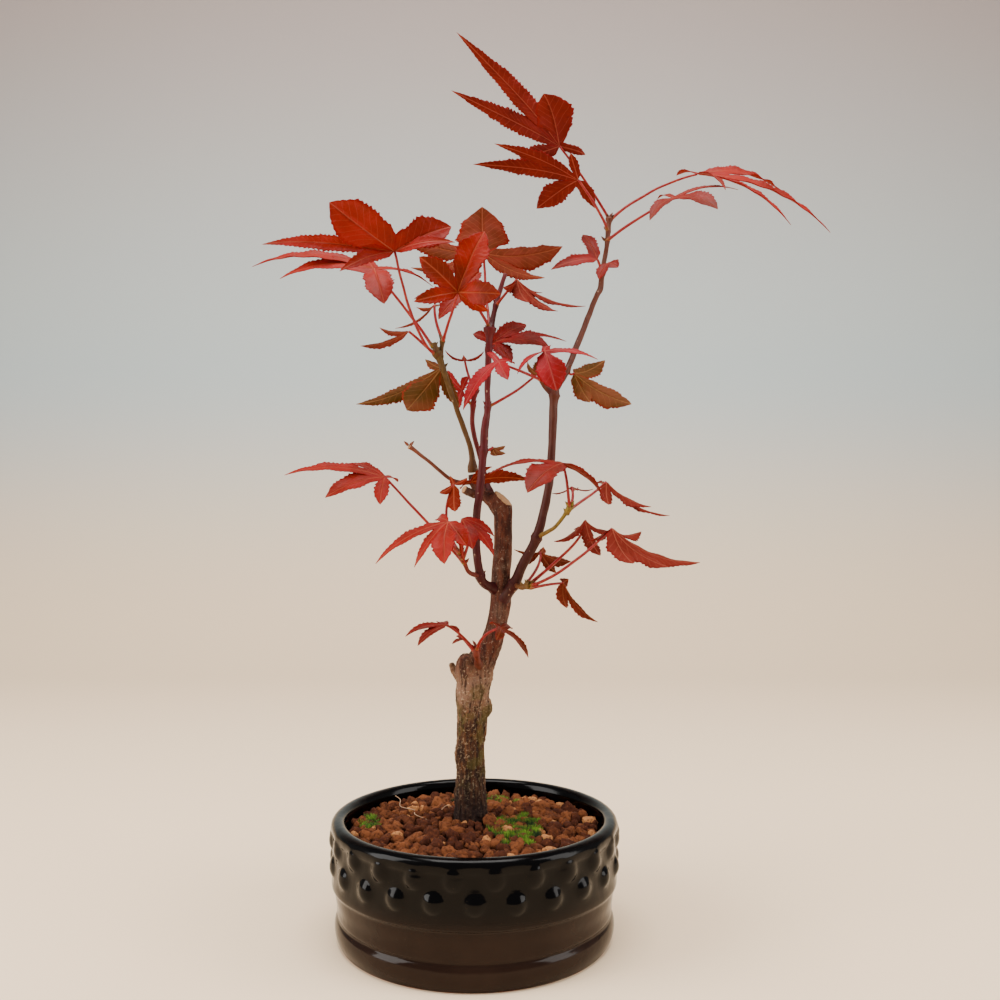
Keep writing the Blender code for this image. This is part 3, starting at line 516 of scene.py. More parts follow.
def bark_material():
    """Grey-brown bark: flaking and mossy below, smoother and streaked above."""
    shader = Shader("bark", 0.85, Specular_IOR_Level=0.3)
    place = shader.place()
    height = shader.split(place)[2]
    upper = shader.band(height, 0.11, 0.132)
    tall = shader.scaled(place, 1.0, 1.0, 0.28)
    plates = shader.cells(tall, 330.0, "DISTANCE_TO_EDGE")
    streak = shader.noise(tall, 420.0, 5.0, 0.65)
    patch = shader.noise(place, 110.0, 4.0, 0.6)
    fleck = shader.noise(place, 820.0, 3.0, 0.75)
    rough = shader.mix(shader.band(streak, 0.35, 0.65), (48, 27, 17), (104, 68, 44))
    rough = shader.mix(shader.band(height, 0.092, 0.112, 0.6), rough, (150, 116, 96))
    rough = shader.mix(shader.band(plates, 0.05, 0.0, 0.35), rough, (44, 27, 18))
    crease = shader.band(shader.noise(shader.scaled(place, 1.0, 1.0, 0.14), 560.0, 4.0, 0.6), 0.5, 0.41)
    rough = shader.mix(shader.math("MULTIPLY", crease, 0.85), rough, (38, 22, 14))
    rough = shader.mix(shader.band(fleck, 0.54, 0.66, 0.7), rough, (176, 152, 122))
    smooth = shader.mix(shader.band(streak, 0.38, 0.66), (60, 30, 22), (98, 53, 38))
    smooth = shader.mix(shader.band(patch, 0.5, 0.68, 0.3), smooth, (128, 102, 86))
    smooth = shader.mix(shader.band(fleck, 0.58, 0.7, 0.55), smooth, (168, 146, 128))
    both = shader.mix(upper, rough, smooth)
    algae = shader.math("MULTIPLY", shader.band(patch, 0.48, 0.6), shader.band(height, 0.14, 0.09))
    algae = shader.math("MULTIPLY", algae, shader.band(height, 0.06, 0.075))
    both = shader.mix(shader.math("MULTIPLY", algae, 0.65), both, (88, 78, 40))
    # The bark darkens to near-black brown towards the foot of the trunk.
    dark_foot = shader.band(height, 0.078, 0.052)
    shader.colour(shader.mix(shader.math("MULTIPLY", dark_foot, 0.85), both, (32, 13, 7)))
    relief = shader.math("MULTIPLY_ADD", fleck, 0.9, streak)
    relief = shader.math("MULTIPLY_ADD", crease, -0.6, relief)
    shader.bump(relief, 1.0, 0.7)
    return shader.material


def glaze_material():
    """Black glaze that breaks to brown on raised edges, over bare clay at the foot; below the bumps it is
    painted brown-grey, partly the glaze's own tone and partly a painted reflection of the pale floor.
    """
    shader = Shader("black_glaze", 0.1, IOR=1.22)
    place = shader.place()
    height = shader.split(place)[2]
    cloud = shader.noise(place, 55.0, 4.0)
    edge = shader.node("ShaderNodeNewGeometry").outputs["Pointiness"]
    upper = shader.mix(cloud, (3, 3, 5), (10, 8, 10))
    # Painted reflection: the wall below the bumps is painted brown-grey, partly the glaze's own tone and
    # partly the pale floor's reflection; above them the wall stays near-black.
    lower = shader.mix(cloud, (30, 20, 16), (44, 32, 26))
    face = shader.mix(shader.band(height, 0.034, 0.02), upper, lower)
    face = shader.mix(shader.band(edge, 0.52, 0.58, 0.5), face, (58, 32, 22))
    specks = shader.band(shader.noise(place, 1500.0, 2.0), 0.74, 0.8)
    face = shader.mix(shader.math("MULTIPLY", specks, 0.5), face, (96, 82, 66))
    ragged = shader.math("MULTIPLY_ADD", shader.noise(place, 140.0), 0.0012, -0.0003)
    bare = shader.math("LESS_THAN", height, ragged)
    clay = shader.mix(shader.noise(place, 600.0), (104, 56, 36), (140, 82, 54))
    shader.colour(shader.mix(bare, face, clay))
    haze = shader.math("MULTIPLY_ADD", shader.band(cloud, 0.4, 0.7), 0.1, 0.1)
    shader.rough(shader.math("MAXIMUM", haze, shader.math("MULTIPLY", bare, 0.8)))
    waves = shader.math("MULTIPLY_ADD", shader.noise(place, 900.0, 2.0), 0.08, shader.noise(place, 90.0, 2.0))
    shader.bump(waves, 0.35, 0.6)
    return shader.material


def clay_material():
    shader = Shader("bare_clay", 0.85)
    grain = shader.noise(shader.place(), 700.0, 4.0)
    shader.colour(shader.mix(grain, (126, 70, 42), (166, 104, 66)))
    shader.bump(grain, 0.4, 0.3)
    return shader.material


def granule_material():
    """Red-brown baked clay granules, some of them paler; the map gives each granule its tint, and the low
    sides of the granules and the ground between them are painted dark as shade.
    """
    shader = Shader("granules", 0.95, Specular_IOR_Level=0.2)
    tint, shade_height, _ = shader.map("blade")
    place = shader.place()
    crumbs = shader.noise(place, 650.0, 5.0, 0.7)
    face = shader.mix(shader.band(tint, 0.1, 0.88), (72, 38, 24), (120, 70, 42))
    face = shader.mix(shader.band(tint, 0.9, 0.92), face, (182, 122, 76))
    face = shader.mix(shader.band(crumbs, 0.52, 0.36, 0.7), face, (44, 20, 13))
    face = shader.mix(shader.band(crumbs, 0.56, 0.72, 0.5), face, (152, 88, 54))
    # Painted shade: low on each granule, and on the ground between them, the colour goes to near-black brown.
    shader.colour(shader.mix(shader.band(shade_height, 0.6, 0.0), face, (30, 14, 10)))
    shader.bump(crumbs, 0.9, 0.8)
    return shader.material


def moss_material():
    shader = Shader("moss", 0.7, Specular_IOR_Level=0.2)
    tint, up, _ = shader.map("blade")
    blade = shader.mix(tint, (24, 46, 12), (128, 170, 48))
    # Painted shade: each blade darkens to near-black green at its root, down among the blades.
    shader.colour(shader.mix(up, (10, 18, 6), blade))
    return shader.material


def plain_material(name, colour, roughness):
    shader = Shader(name, roughness)
    shader.surface.inputs["Base Color"].default_value = linear(colour)
    return shader.material


# Pot, drainage mesh, soil and moss

POT_STEPS = 432
OUTLINE_SPACING = 0.7
BUMPS_PER_ROW = 24
BUMP_RADIUS = 4.9
BUMP_PROUD = 1.9
BUMP_ROWS = ((45.8, 8.6), (36.0, 1.1))      # height, first bump's angle from the front
FLOOR_TOP = 6.0
SLAB_RADIUS = 53.0
WALL_Z = (28.0, 52.5)       # the bumps show between these heights
DRAINS = 3
DRAIN_RADIUS = 5.0
DRAIN_DISTANCE = 24.0
MOUTH_RADIUS = 58.4
RIM_Z = 54.5
POT_OUTLINE = [             # radius, height: from the inside of the floor over the lip to the underside
    (50.0, 6.0), (52.5, 6.4), (54.4, 7.6), (55.2, 10.0), (56.6, 30.0), (57.9, 48.0), (58.3, 52.0),
    (59.4, 53.9), (61.4, 54.5), (63.4, 54.0), (64.7, 52.6), (65.0, 50.9), (64.6, 49.0), (64.1, 47.2),
    (64.2, 42.0), (64.3, 36.0), (64.4, 31.0), (64.8, 28.0), (64.7, 26.2), (63.8, 25.1), (63.6, 24.2),
    (63.2, 21.0), (62.6, 17.0), (62.5, 13.6), (62.2, 12.5), (61.8, 11.7), (62.4, 11.0), (63.1, 9.8),
    (63.5, 7.6), (63.3, 5.0), (62.6, 2.6), (61.6, 0.6), (60.6, 0.0), (57.0, 0.0), (52.0, 0.0)]


def turned_grid(outline, steps):
    """Closed grid turned round the Z axis from (radius, height) rows; columns start at the front."""
    angles = 2 * np.pi * np.arange(steps) / steps
    radius = outline[:, :1]
    verts = np.stack([radius * np.sin(angles), -radius * np.cos(angles),
                      np.repeat(outline[:, 1:2], steps, axis=1)], axis=-1)
    faces = grid_faces(len(outline), steps, closed=True)
    last = (len(outline) - 1) * steps
    faces += [(last + k, last + (k + 1) % steps, (k + 1) % steps, k) for k in range(steps)]
    return verts, faces


def bump_height(verts):
    """How far the glazed bumps stand out of the wall at each point, with glaze pooled round them."""
    angle = np.degrees(np.arctan2(verts[..., 0], -verts[..., 1]))
    radius = np.hypot(verts[..., 0], verts[..., 1])
    total = np.zeros(angle.shape)
    pitch = 360.0 / BUMPS_PER_ROW
    for row, (height, first_angle) in enumerate(BUMP_ROWS):
        turned = (angle - first_angle + pitch / 2) % pitch - pitch / 2
        number = np.round((angle - first_angle) / pitch)
        unlike = np.sin(number * 12.9 + row * 4.1)
        across = np.radians(turned) * radius + 0.35 * unlike
        up = verts[..., 2] - height - 0.4 * np.cos(number * 7.7 + row)
        reach = np.hypot(across, up) / (BUMP_RADIUS * (1.0 + 0.06 * unlike))
        dome = np.clip(1.0 - reach ** 2, 0.0, 1.0)
        pool = 0.2 * np.exp(-((reach - 1.1) / 0.2) ** 2)
        total += BUMP_PROUD * dome ** 0.85 + pool
    return np.where(radius > MOUTH_RADIUS + 2.0, total, 0.0)


def glazed_wall():
    """Shell of the pot's wall, with its bumps and the slight unevenness of a thrown pot."""
    rows = np.array([(r, 0.0, z, 1.0) for r, z in POT_OUTLINE])
    fine = spline(rows, OUTLINE_SPACING)[:, [0, 2]]
    fine[:, 1] = np.clip(fine[:, 1], 0.0, RIM_Z)
    verts, faces = turned_grid(fine, POT_STEPS)
    outward = verts * (1.0, 1.0, 0.0)
    outward /= np.linalg.norm(outward, axis=-1)[..., None]
    on_wall = (verts[..., 2] > WALL_Z[0]) & (verts[..., 2] < WALL_Z[1])
    verts = verts + outward * np.where(on_wall, bump_height(verts), 0.0)[..., None]
    verts = verts.reshape(-1, 3)
    uneven = np.array([noise.noise(Vector(v) / 22.0) for v in verts.tolist()])
    uneven = uneven * (verts[:, 2] > 1.0) * 0.35
    verts = verts + outward.reshape(-1, 3) * uneven[:, None]
    return shell_mesh(verts, [face[::-1] for face in faces])


def cylinder(name, radius, height, sides, place):
    """Upright cylinder, with its middle at the place."""
    shape = bmesh.new()
    bmesh.ops.create_cone(shape, cap_ends=True, segments=sides, radius1=radius * MM,
                          radius2=radius * MM, depth=height * MM)
    bmesh.ops.translate(shape, verts=shape.verts, vec=Vector(place) * MM)
    return joined(name, [mesh_of(shape, name)], [])


def clay_slab():
    """The pot's floor, with its drains."""
    slab = cylinder("slab", SLAB_RADIUS, FLOOR_TOP, 144, (0, 0, FLOOR_TOP / 2))
    cutters = []
    for k in range(DRAINS):
        turned = 2 * math.pi * k / DRAINS
        place = (DRAIN_DISTANCE * math.sin(turned), -DRAIN_DISTANCE * math.cos(turned), 0)
        cutters.append(cylinder("drain", DRAIN_RADIUS, 4 * FLOOR_TOP, 48, place))
        hole = slab.modifiers.new("drain", "BOOLEAN")
        hole.object = cutters[-1]
        hole.operation = "DIFFERENCE"
    result = evaluated_mesh(slab)
    for cutter in cutters:
        bpy.data.objects.remove(cutter, do_unlink=True)
    result.polygons.foreach_set("material_index", [1] * len(result.polygons))
    return result


def build_pot():
    pot = joined("glazed_pot", [glazed_wall(), clay_slab()], [glaze_material(), clay_material()])
    declare(pot, slot_of("pot"), "pot")


LATTICE_SPACING = 3.2
LATTICE_BAR_RADIUS = 0.38


def build_drainage_mesh():
    """A lattice of thin bars over the drains."""
    low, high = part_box("drainage_mesh")
    reach = high.x / MM
    height = (low.z + high.z) / 2 / MM
    bars = int(reach / LATTICE_SPACING)
    shells = []
    for k in range(-bars, bars + 1):
        at = k * LATTICE_SPACING
        half = math.sqrt(max(reach ** 2 - at ** 2, 0.0)) - 0.5
        for start, end in (((at, -half), (at, half)), ((-half, at), (half, at))):
            bar = np.array([(*point, height, LATTICE_BAR_RADIUS) for point in (start, end)])
            verts, faces, _ = tube_shell(bar, 8)
            shells.append(shell_mesh(verts, faces))
    ring = [(math.cos(a) * (reach - 0.5), math.sin(a) * (reach - 0.5), height, LATTICE_BAR_RADIUS)
            for a in np.linspace(0, 2 * math.pi, 73)]
    verts, faces, _ = tube_shell(np.array(ring), 8)
    shells.append(shell_mesh(verts, faces))
    mesh = joined("drainage_lattice", shells, [plain_material("mesh_plastic", (34, 36, 34), 0.5)])
    declare(mesh, slot_of("drainage_mesh"), "drainage_mesh")


SOIL_EDGE_Z = 47.8
SOIL_RISE = 2.4
SOIL_EDGE_RADIUS = 57.0
TRUNK_FOOT = (-2.0, 8.0)
TRUNK_FOOT_RADIUS = 7.6
GRANULES = 480
GRANULE_TRIES = 60000
GRANULE_SIZES = (2.2, 4.4)      # smallest and largest half width
FINE_GRANULE_SIZE = 3.9         # larger ones get the finer ball
ROOTLETS = [                    # pale dry rootlets that lie on the granules
    [(-40, 38, 52, 0.2), (-37, 31, 52, 0.2), (-36, 23, 51, 0.2), (-29, 17, 51, 0.2), (-28, 10, 51, 0.2),
     (-21, 4, 50, 0.1)],
    [(-17, 13, 51, 0.2), (-14, 17, 53, 0.2), (-11, 18, 52, 0.15)]]


def soil_height(radius):
    return SOIL_EDGE_Z + SOIL_RISE * max(0.0, 1.0 - radius / MOUTH_RADIUS)


def icosphere(detail):
    shape = bmesh.new()
    bmesh.ops.create_icosphere(shape, subdivisions=detail, radius=1.0)
    verts = np.array([v.co[:] for v in shape.verts])
    faces = [tuple(v.index for v in face.verts) for face in shape.faces]
    shape.free()
    return verts, faces


def granule(ball, size, at, rng):
    """A lumpy granule: a ball squashed, turned and roughened."""
    stretch = np.array([rng.uniform(0.8, 1.25), rng.uniform(0.75, 1.1), rng.uniform(0.7, 1.0)])
    shift = Vector((rng.uniform(-50, 50), rng.uniform(-50, 50), rng.uniform(-50, 50)))
    places = [Vector(v) for v in ball.tolist()]
    rough = np.array([noise.noise(at_ball * 1.1 + shift) * 0.4
                      - noise.voronoi(at_ball * 1.7 + shift)[0][0] * 0.5 for at_ball in places]) + 0.22
    verts = ball * (1.0 + rough)[:, None] * stretch * size
    turn = np.array(Vector((0, 0, 1)).rotation_difference(
        Vector((rng.gauss(0, 1), rng.gauss(0, 1), rng.gauss(0, 1))).normalized()).to_matrix())
    return verts @ turn.T + at


def build_soil():
    rng = random.Random(7)
    coarse, fine = icosphere(2), icosphere(3)
    outline = np.array([(0.5 + 1.5 * k, soil_height(1.5 * k) - 1.6) for k in range(38)]
                       + [(SOIL_EDGE_RADIUS - 0.5, 40.0), (55.0, 9.0), (50.0, 7.5), (0.5, 7.5)])
    verts, faces = turned_grid(outline, 120)
    ground = wobble(verts.reshape(-1, 3), 3.0, 0.8, 3)
    # The ground sits low on the shade map, so it is painted dark as shade between the granules.
    ground_map = np.tile((0.2, 0.2), (len(ground), 1))
    shells = [shell_mesh(ground, [face[::-1] for face in faces], 0, ground_map)]
    places = []
    tries = 0
    while len(places) < GRANULES and tries < GRANULE_TRIES:
        tries += 1
        angle = rng.uniform(0, 2 * math.pi)
        radius = SOIL_EDGE_RADIUS * math.sqrt(rng.uniform(0, 1))
        x, y = radius * math.sin(angle), -radius * math.cos(angle)
        size = rng.uniform(*GRANULE_SIZES) * (0.75 if rng.random() < 0.3 else 1.0)
        crowded = any((x - px) ** 2 + (y - py) ** 2 < (0.72 * (size + ps)) ** 2 for px, py, ps in places)
        near_trunk = math.hypot(x - TRUNK_FOOT[0], y - TRUNK_FOOT[1]) < TRUNK_FOOT_RADIUS + 0.5 * size
        if crowded or near_trunk or radius + 0.8 * size > SOIL_EDGE_RADIUS + 0.6:
            continue
        places.append((x, y, size))
    for x, y, size in places:
        at = np.array([x, y, soil_height(math.hypot(x, y)) - 0.15 * size + rng.uniform(-0.5, 0.7)])
        ball, ball_faces = fine if size > FINE_GRANULE_SIZE else coarse
        verts = granule(ball, size, at, rng)
        tint = rng.random()
        # Height of each point on its granule, for the painted shade on the granule's low side.
        shade_height = np.clip((verts[:, 2] - at[2]) / size * 0.5 + 0.8, 0.0, 1.0)
        shells.append(shell_mesh(verts, ball_faces, 0, np.column_stack([np.full(len(verts), tint), shade_height])))
    for rootlet in ROOTLETS:
        verts, faces, _ = tube_shell(spline(rootlet, 0.8), 6)
        shells.append(shell_mesh(verts, faces, 1))
    rootlet_skin = plain_material("rootlet", (168, 134, 104), 0.7)
    soil = joined("soil_granules", shells, [granule_material(), rootlet_skin])
    declare(soil, slot_of("soil"), "soil")


MOSS_BLADES = {"moss_front": 7000, "moss_left": 1200, "moss_back": 1600}
MOSS_BLADE_LENGTHS = (1.2, 2.9)
MOSS_BLADE_RADIUS = 0.26


def build_moss():
    """Moss as tufts of short blades that grow between the granules, thick in places and thin in others."""
    material = moss_material()
    for number, (node, count) in enumerate(MOSS_BLADES.items()):
        rng = random.Random(40 + number)
        low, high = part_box(node)
        centre = (low + high) / 2 / MM
        half = (high - low) / 2 / MM
        verts, faces, tints = [], [], []
        while len(verts) < 4 * count:
            angle = rng.uniform(0, 2 * math.pi)
            reach = math.sqrt(rng.random())
            x = centre.x + half.x * reach * math.cos(angle)
            y = centre.y + half.y * reach * math.sin(angle)
            thick = noise.noise(Vector((x / 5.0, y / 5.0, number * 9.0))) + 0.35 - 0.6 * reach ** 3
            if rng.random() > thick * 2.2:
                continue
            mound = 1.8 * min(1.0, max(0.0, thick))
            root = Vector((x, y, soil_height(math.hypot(x, y)) + mound - 0.6))
            lean = Vector((rng.gauss(0, 0.45), rng.gauss(0, 0.45), 1.0)).normalized()
            tip = root + lean * rng.uniform(*MOSS_BLADE_LENGTHS)
            turn = rng.uniform(0, math.pi)
            for k in range(3):
                spread = turn + k * 2 * math.pi / 3
                verts.append(root + Vector((math.cos(spread), math.sin(spread), 0)) * MOSS_BLADE_RADIUS)
            verts.append(tip)
            first = len(verts) - 4
            faces += [(first, first + 1, first + 3), (first + 1, first + 2, first + 3),
                      (first + 2, first, first + 3), (first, first + 2, first + 1)]
            patch = noise.noise(Vector((x / 7.0, y / 7.0, 4.0)))
            tint = min(1.0, max(0.0, 0.9 * patch + 0.3 + rng.gauss(0, 0.25)))
            # The second map value runs from 0.1 at the root to 1 at the tip, for the painted shade at the
            # roots.
            tints += [(tint, 0.1)] * 3 + [(tint, 1.0)]
        shell = shell_mesh([v[:] for v in verts], faces, 0, tints)
        tuft = joined(node + "_tufts", [shell], [material])
        declare(tuft, slot_of(node), node)


# Trunk and shoots

TRUNK_GRAIN = 0.5           # remeshing step of the trunk
TRUNK_SIDES = 28
TRUNK_SPACING = 1.5
ROUGH_TOP_Z = 130.0         # the old rough bark ends here
TOP_CUT = Vector((13, 0, 199))      # the old leader was sawn off here
TOP_CUT_WAY = Vector((0.6, -0.3, 0.74)).normalized()
TOP_CUT_RADIUS = 4.4
STUB_CUT_RADIUS = 1.8
LEADER_TIP = [(13, 0, 194, 4.2), (13, 0, 205, 3.9)]     # runs past the cut
SMALL_KNOBS = [             # left edge of the old stump, and the swelling below the bend
    [(-6, 8, 114, 2.4), (-10, 8, 118, 1.9), (-11, 8, 122, 1.2)],
    [(1, 7, 96, 3.5), (4, 6, 101, 4.4), (4, 6, 106, 3.4)]]


def trunk_relief(point):
    """Height of the bark at a point: deep upright flakes below, fine streaks above."""
    x, y, z = point
    tall = Vector((x * 0.42, y * 0.42, z * 0.13))
    flakes = noise.fractal(tall, 0.7, 2.1, 4)
    crack = noise.voronoi(Vector((x * 0.33, y * 0.33, z * 0.12)))[0]
    edge = crack[1] - crack[0]
    streaks = noise.fractal(Vector((x * 0.9, y * 0.9, z * 0.12)), 0.8, 2.0, 3)
    lumps = noise.noise(Vector((x * 0.11, y * 0.11, z * 0.09)))
    old = 1.0 / (1.0 + math.exp((z - ROUGH_TOP_Z) / 4.0))
    grain = noise.noise(Vector((x * 0.9, y * 0.9, z * 0.7)))
    grain += 0.6 * noise.noise(Vector((x * 1.9, y * 1.9, z * 1.6)))
    rough = 0.42 * flakes + 0.34 * grain - 0.12 * max(0.0, 0.14 - edge) / 0.14
    smooth = 0.2 * streaks
    return old * rough + (1.0 - old) * smooth + 1.3 * lumps * old + 0.25 * lumps


def sawn(mesh, place, way):
    """The mesh cut off flat at a place, the part on the side of way removed."""
    shape = shape_of(mesh)
    geometry = shape.verts[:] + shape.edges[:] + shape.faces[:]
    cut = bmesh.ops.bisect_plane(shape, geom=geometry, plane_co=place * MM, plane_no=way, clear_outer=True)
    rim = [item for item in cut["geom_cut"] if isinstance(item, bmesh.types.BMEdge)]
    bmesh.ops.edgeloop_fill(shape, edges=rim)
    return mesh_of(shape, "sawn")


def build_trunk():
    tubes = [list(tube) for tube in STEMS["trunk"][1]]
    tubes = [tubes[0][1:-1] + LEADER_TIP] + tubes[1:] + SMALL_KNOBS
    shells = []
    for tube in tubes:
        verts, faces, _ = tube_shell(spline(tube, TRUNK_SPACING), TRUNK_SIDES)
        shells.append(shell_mesh(verts, faces))
    shells[0] = sawn(shells[0], TOP_CUT, TOP_CUT_WAY)
    trunk = joined("old_wood", shells, [])
    remesh = trunk.modifiers.new("Skin", "REMESH")
    remesh.mode = "VOXEL"
    remesh.voxel_size = TRUNK_GRAIN * MM
    shape = shape_of(evaluated_mesh(trunk))
    bmesh.ops.smooth_vert(shape, verts=shape.verts, factor=0.5,
                          use_axis_x=True, use_axis_y=True, use_axis_z=True)
    shape.normal_update()
    before_stub, stub = [Vector(point[:3]) for point in tubes[2][-2:]]
    cuts = [(TOP_CUT, TOP_CUT_WAY, TOP_CUT_RADIUS),
            (stub, (stub - before_stub).normalized(), STUB_CUT_RADIUS)]
    normals = [vert.normal.copy() for vert in shape.verts]
    for vert, normal in zip(shape.verts, normals):
        point = vert.co / MM
        on_cut = any((point - at).length < radius * 1.25 and normal.dot(way) > 0.7
                     for at, way, radius in cuts)
        height = 0.08 * noise.noise(point * 1.3) if on_cut else trunk_relief(point)
        vert.co += normal * height * MM
    for face in shape.faces:
        point = face.calc_center_median() / MM
        if any((point - at).length < radius * 1.15 and face.normal.dot(way) > 0.75
               for at, way, radius in cuts):
            face.material_index = 1
    trunk = joined("old_wood", [mesh_of(shape, "old_wood")], [bark_material(), cut_material()])
    declare(trunk, slot_of("trunk"), "trunk")


def leaf_joints(stem):
    return [Vector(leaf[1]) for leaf in LEAVES.values() if leaf[0] == stem]


def swollen(points, joints):
    """Tube points with a knuckle and a ring scar at each joint."""
    out = points.copy()
    for joint in joints:
        distance = np.linalg.norm(points[:, :3] - np.array(joint), axis=1)
        knuckle = 0.22 * np.exp(-(distance / 1.8) ** 2)
        scar = 0.12 * np.exp(-(distance / 0.5) ** 2)
        out[:, 3] += points[:, 3] * (knuckle + scar)
    return out


CUT_TIPS = {"left_shoot": (1,), "centre_shoot": (1,), "right_shoot": (1,), "dead_twig": (0,)}
SHOOT_SIDES = 20
SHOOT_SPACING = 0.5
BUD = [(0.0, 0.45), (0.8, 0.675), (1.6, 0.558), (2.4, 0.27), (2.9, 0.054)]     # height, radius


def build_shoots():
    cut = cut_material()
    for name, (parent, tubes) in STEMS.items():
        if not parent:
            continue
        joints = leaf_joints(name) + [Vector(tubes[0][-1][:3])]
        joints += [Vector(child[1][0][0][:3]) for child in STEMS.values() if child[0] == name]
        joints += [Vector(tube[0][:3]) for tube in tubes[1:]]
        shells = []
        for number, tube in enumerate(tubes):
            line = swollen(spline(tube, SHOOT_SPACING), joints)
            rise = lengths_along(line)
            if number == 0:
                line[:, 3] += 0.8 * np.exp(-(np.maximum(rise - 2.0, 0.0) / 2.5) ** 2) * (line[0][3] > 1.4)
            verts, faces, along = tube_shell(line, SHOOT_SIDES)
            verts = wobble(verts, 6.0, 0.22, 5)
            reach = along / rise[-1]
            shell = shell_mesh(verts, faces, 0, np.column_stack([along, along]),
                               np.column_stack([reach, reach]))
            if number in CUT_TIPS.get(name, ()):
                slots = np.zeros(len(faces), int)
                slots[-SHOOT_SIDES:] = 1
                shell.polygons.foreach_set("material_index", slots)
            shells.append(shell)
        for joint in joints:
            shells += bud_shells(joint, name)
        base, tip = SHOOT_LOOKS[name]
        item = joined(name + "_bark", shells, [shoot_material(name + "_skin", base, tip), cut])
        declare(item, slot_of(name), name)


def bud_shells(joint, name):
    """Two small pointed buds in the axils at a joint."""
    rng = random.Random("%s %.0f %.0f %.0f" % (name, *joint))
    out = []
    for side in (-1, 1):
        way = Vector((side * rng.uniform(0.5, 1.0), rng.uniform(-0.7, 0.7), 1.0)).normalized()
        start = joint + way * 0.5
        line = np.array([(*(start + way * rise), radius) for rise, radius in BUD])
        verts, faces, _ = tube_shell(spline(line, 0.4), 10)
        ones = np.ones((len(verts), 2))
        out.append(shell_mesh(verts, faces, 0, ones, ones))
    return out


# Leaves

LOBE_ARCH = 0.1             # rise of a lobe's midrib, over its length
LOBE_FOLD = 0.25            # rise of a lobe's margin, over its half width
BLADE_THICKNESS = 0.24
ROW_SPACING = 0.42
COLUMNS = 5                 # from the midrib to the margin
TOOTH_SPACING = 2.1
TOOTH_DEPTH = 0.95
MIDRIB_RADIUS = 0.28
PETIOLE_RADIUS = 0.72


class Lobe:
    """One lobe of a leaf, as vectors from the hub."""

    def __init__(self, row, rng):
        self.tip = Vector(row[:3])
        self.length = self.tip.length
        self.along = self.tip.normalized()
        self.half_width = row[3] / 2
        slender = self.length / row[3]
        self.widest = min(0.58, max(0.44, 0.63 - 0.035 * slender))
        self.bluntness = min(2.2, max(1.4, 2.9 - 0.45 * slender))
        self.phase = rng.uniform(0, 6.3)
        self.wave = rng.uniform(0.5, 1.2)
        self.sway = rng.uniform(-0.035, 0.035)
        self.normal = None
        self.across = None

    def face(self, normal):
        self.normal = (normal - self.along * normal.dot(self.along)).normalized()
        self.across = self.normal.cross(self.along)

    def midrib(self, t):
        arch = self.normal * (LOBE_ARCH * self.length * 4 * t * (1 - t))
        sway = self.across * (self.sway * self.length * math.sin(math.pi * t) * t)
        return self.tip * t + arch + sway

    def half_width_at(self, t, start, start_width):
        widest = max(self.widest, start + 0.2)
        if t < widest:
            swell = math.sin(math.pi / 2 * (t - start) / (widest - start))
            return start_width + (self.half_width - start_width) * swell
        return self.half_width * (1 - ((t - widest) / (1 - widest)) ** self.bluntness)

    def teeth(self, t, start):
        """Share of the width that is left by uneven saw teeth that point to the tip."""
        at = (t - start) * self.length
        uneven = noise.noise(Vector((at / 3.2, self.phase * 3.0, 0.5)))
        at += 0.8 * uneven
        large = (at / TOOTH_SPACING + self.phase) % 1.0
        small = (at * 3.0 / TOOTH_SPACING + self.phase) % 1.0
        large = large / 0.75 if large < 0.75 else (1.0 - large) / 0.25
        small = small / 0.7 if small < 0.7 else (1.0 - small) / 0.3
        depth = min(0.2, TOOTH_DEPTH / self.half_width) * min(1.0, (t - start) * 5.0)
        return (1.0 + 0.16 * uneven) * (1.0 - depth * (1.0 - large) - 0.35 * depth * (1.0 - small))

    def margin(self, t, side, notch):
        start = notch.dot(self.along) / self.length
        start_width = abs(notch.dot(self.across))
        x = (t - start) / (1 - start)

        def plain(at):
            width = self.half_width_at(at, start, start_width) * self.teeth(at, start)
            return self.midrib(at) + (self.across * side + self.normal * LOBE_FOLD) * width
        ripple = math.sin(t * self.length / 1.9 + self.phase + side) * 0.07 * self.wave * self.half_width
        return plain(t) + (notch - plain(start)) * (1 - x) ** 2 + self.normal * ripple * math.sin(math.pi * x)


def make_lobes(rows, rng):
    lobes = [Lobe(row, rng) for row in rows]
    crosses = [a.along.cross(b.along).normalized() for a, b in zip(lobes, lobes[1:])]
    mean = sum((a.tip.cross(b.tip) for a, b in zip(lobes, lobes[1:])), Vector()).normalized()
    for i, lobe in enumerate(lobes):
        beside = crosses[max(0, i - 1):i + 1]
        lobe.face(mean + sum(beside, Vector()) / len(beside))
    return lobes


def notch_between(first, second):
    middle = (first.along + second.along).normalized()
    half_angle = first.along.angle(second.along) / 2
    narrow = min(first.half_width, second.half_width)
    reach = min(0.26 * min(first.length, second.length), 0.84 * narrow / max(math.sin(half_angle), 0.2))
    rise = [lobe.normal * (LOBE_ARCH * 4 * reach * (1 - reach / lobe.length)) for lobe in (first, second)]
    return middle * reach + (rise[0] + rise[1]) / 2


def outer_notch(lobe, side):
    return lobe.midrib(0.14) + lobe.across * (side * 0.6 * lobe.half_width)


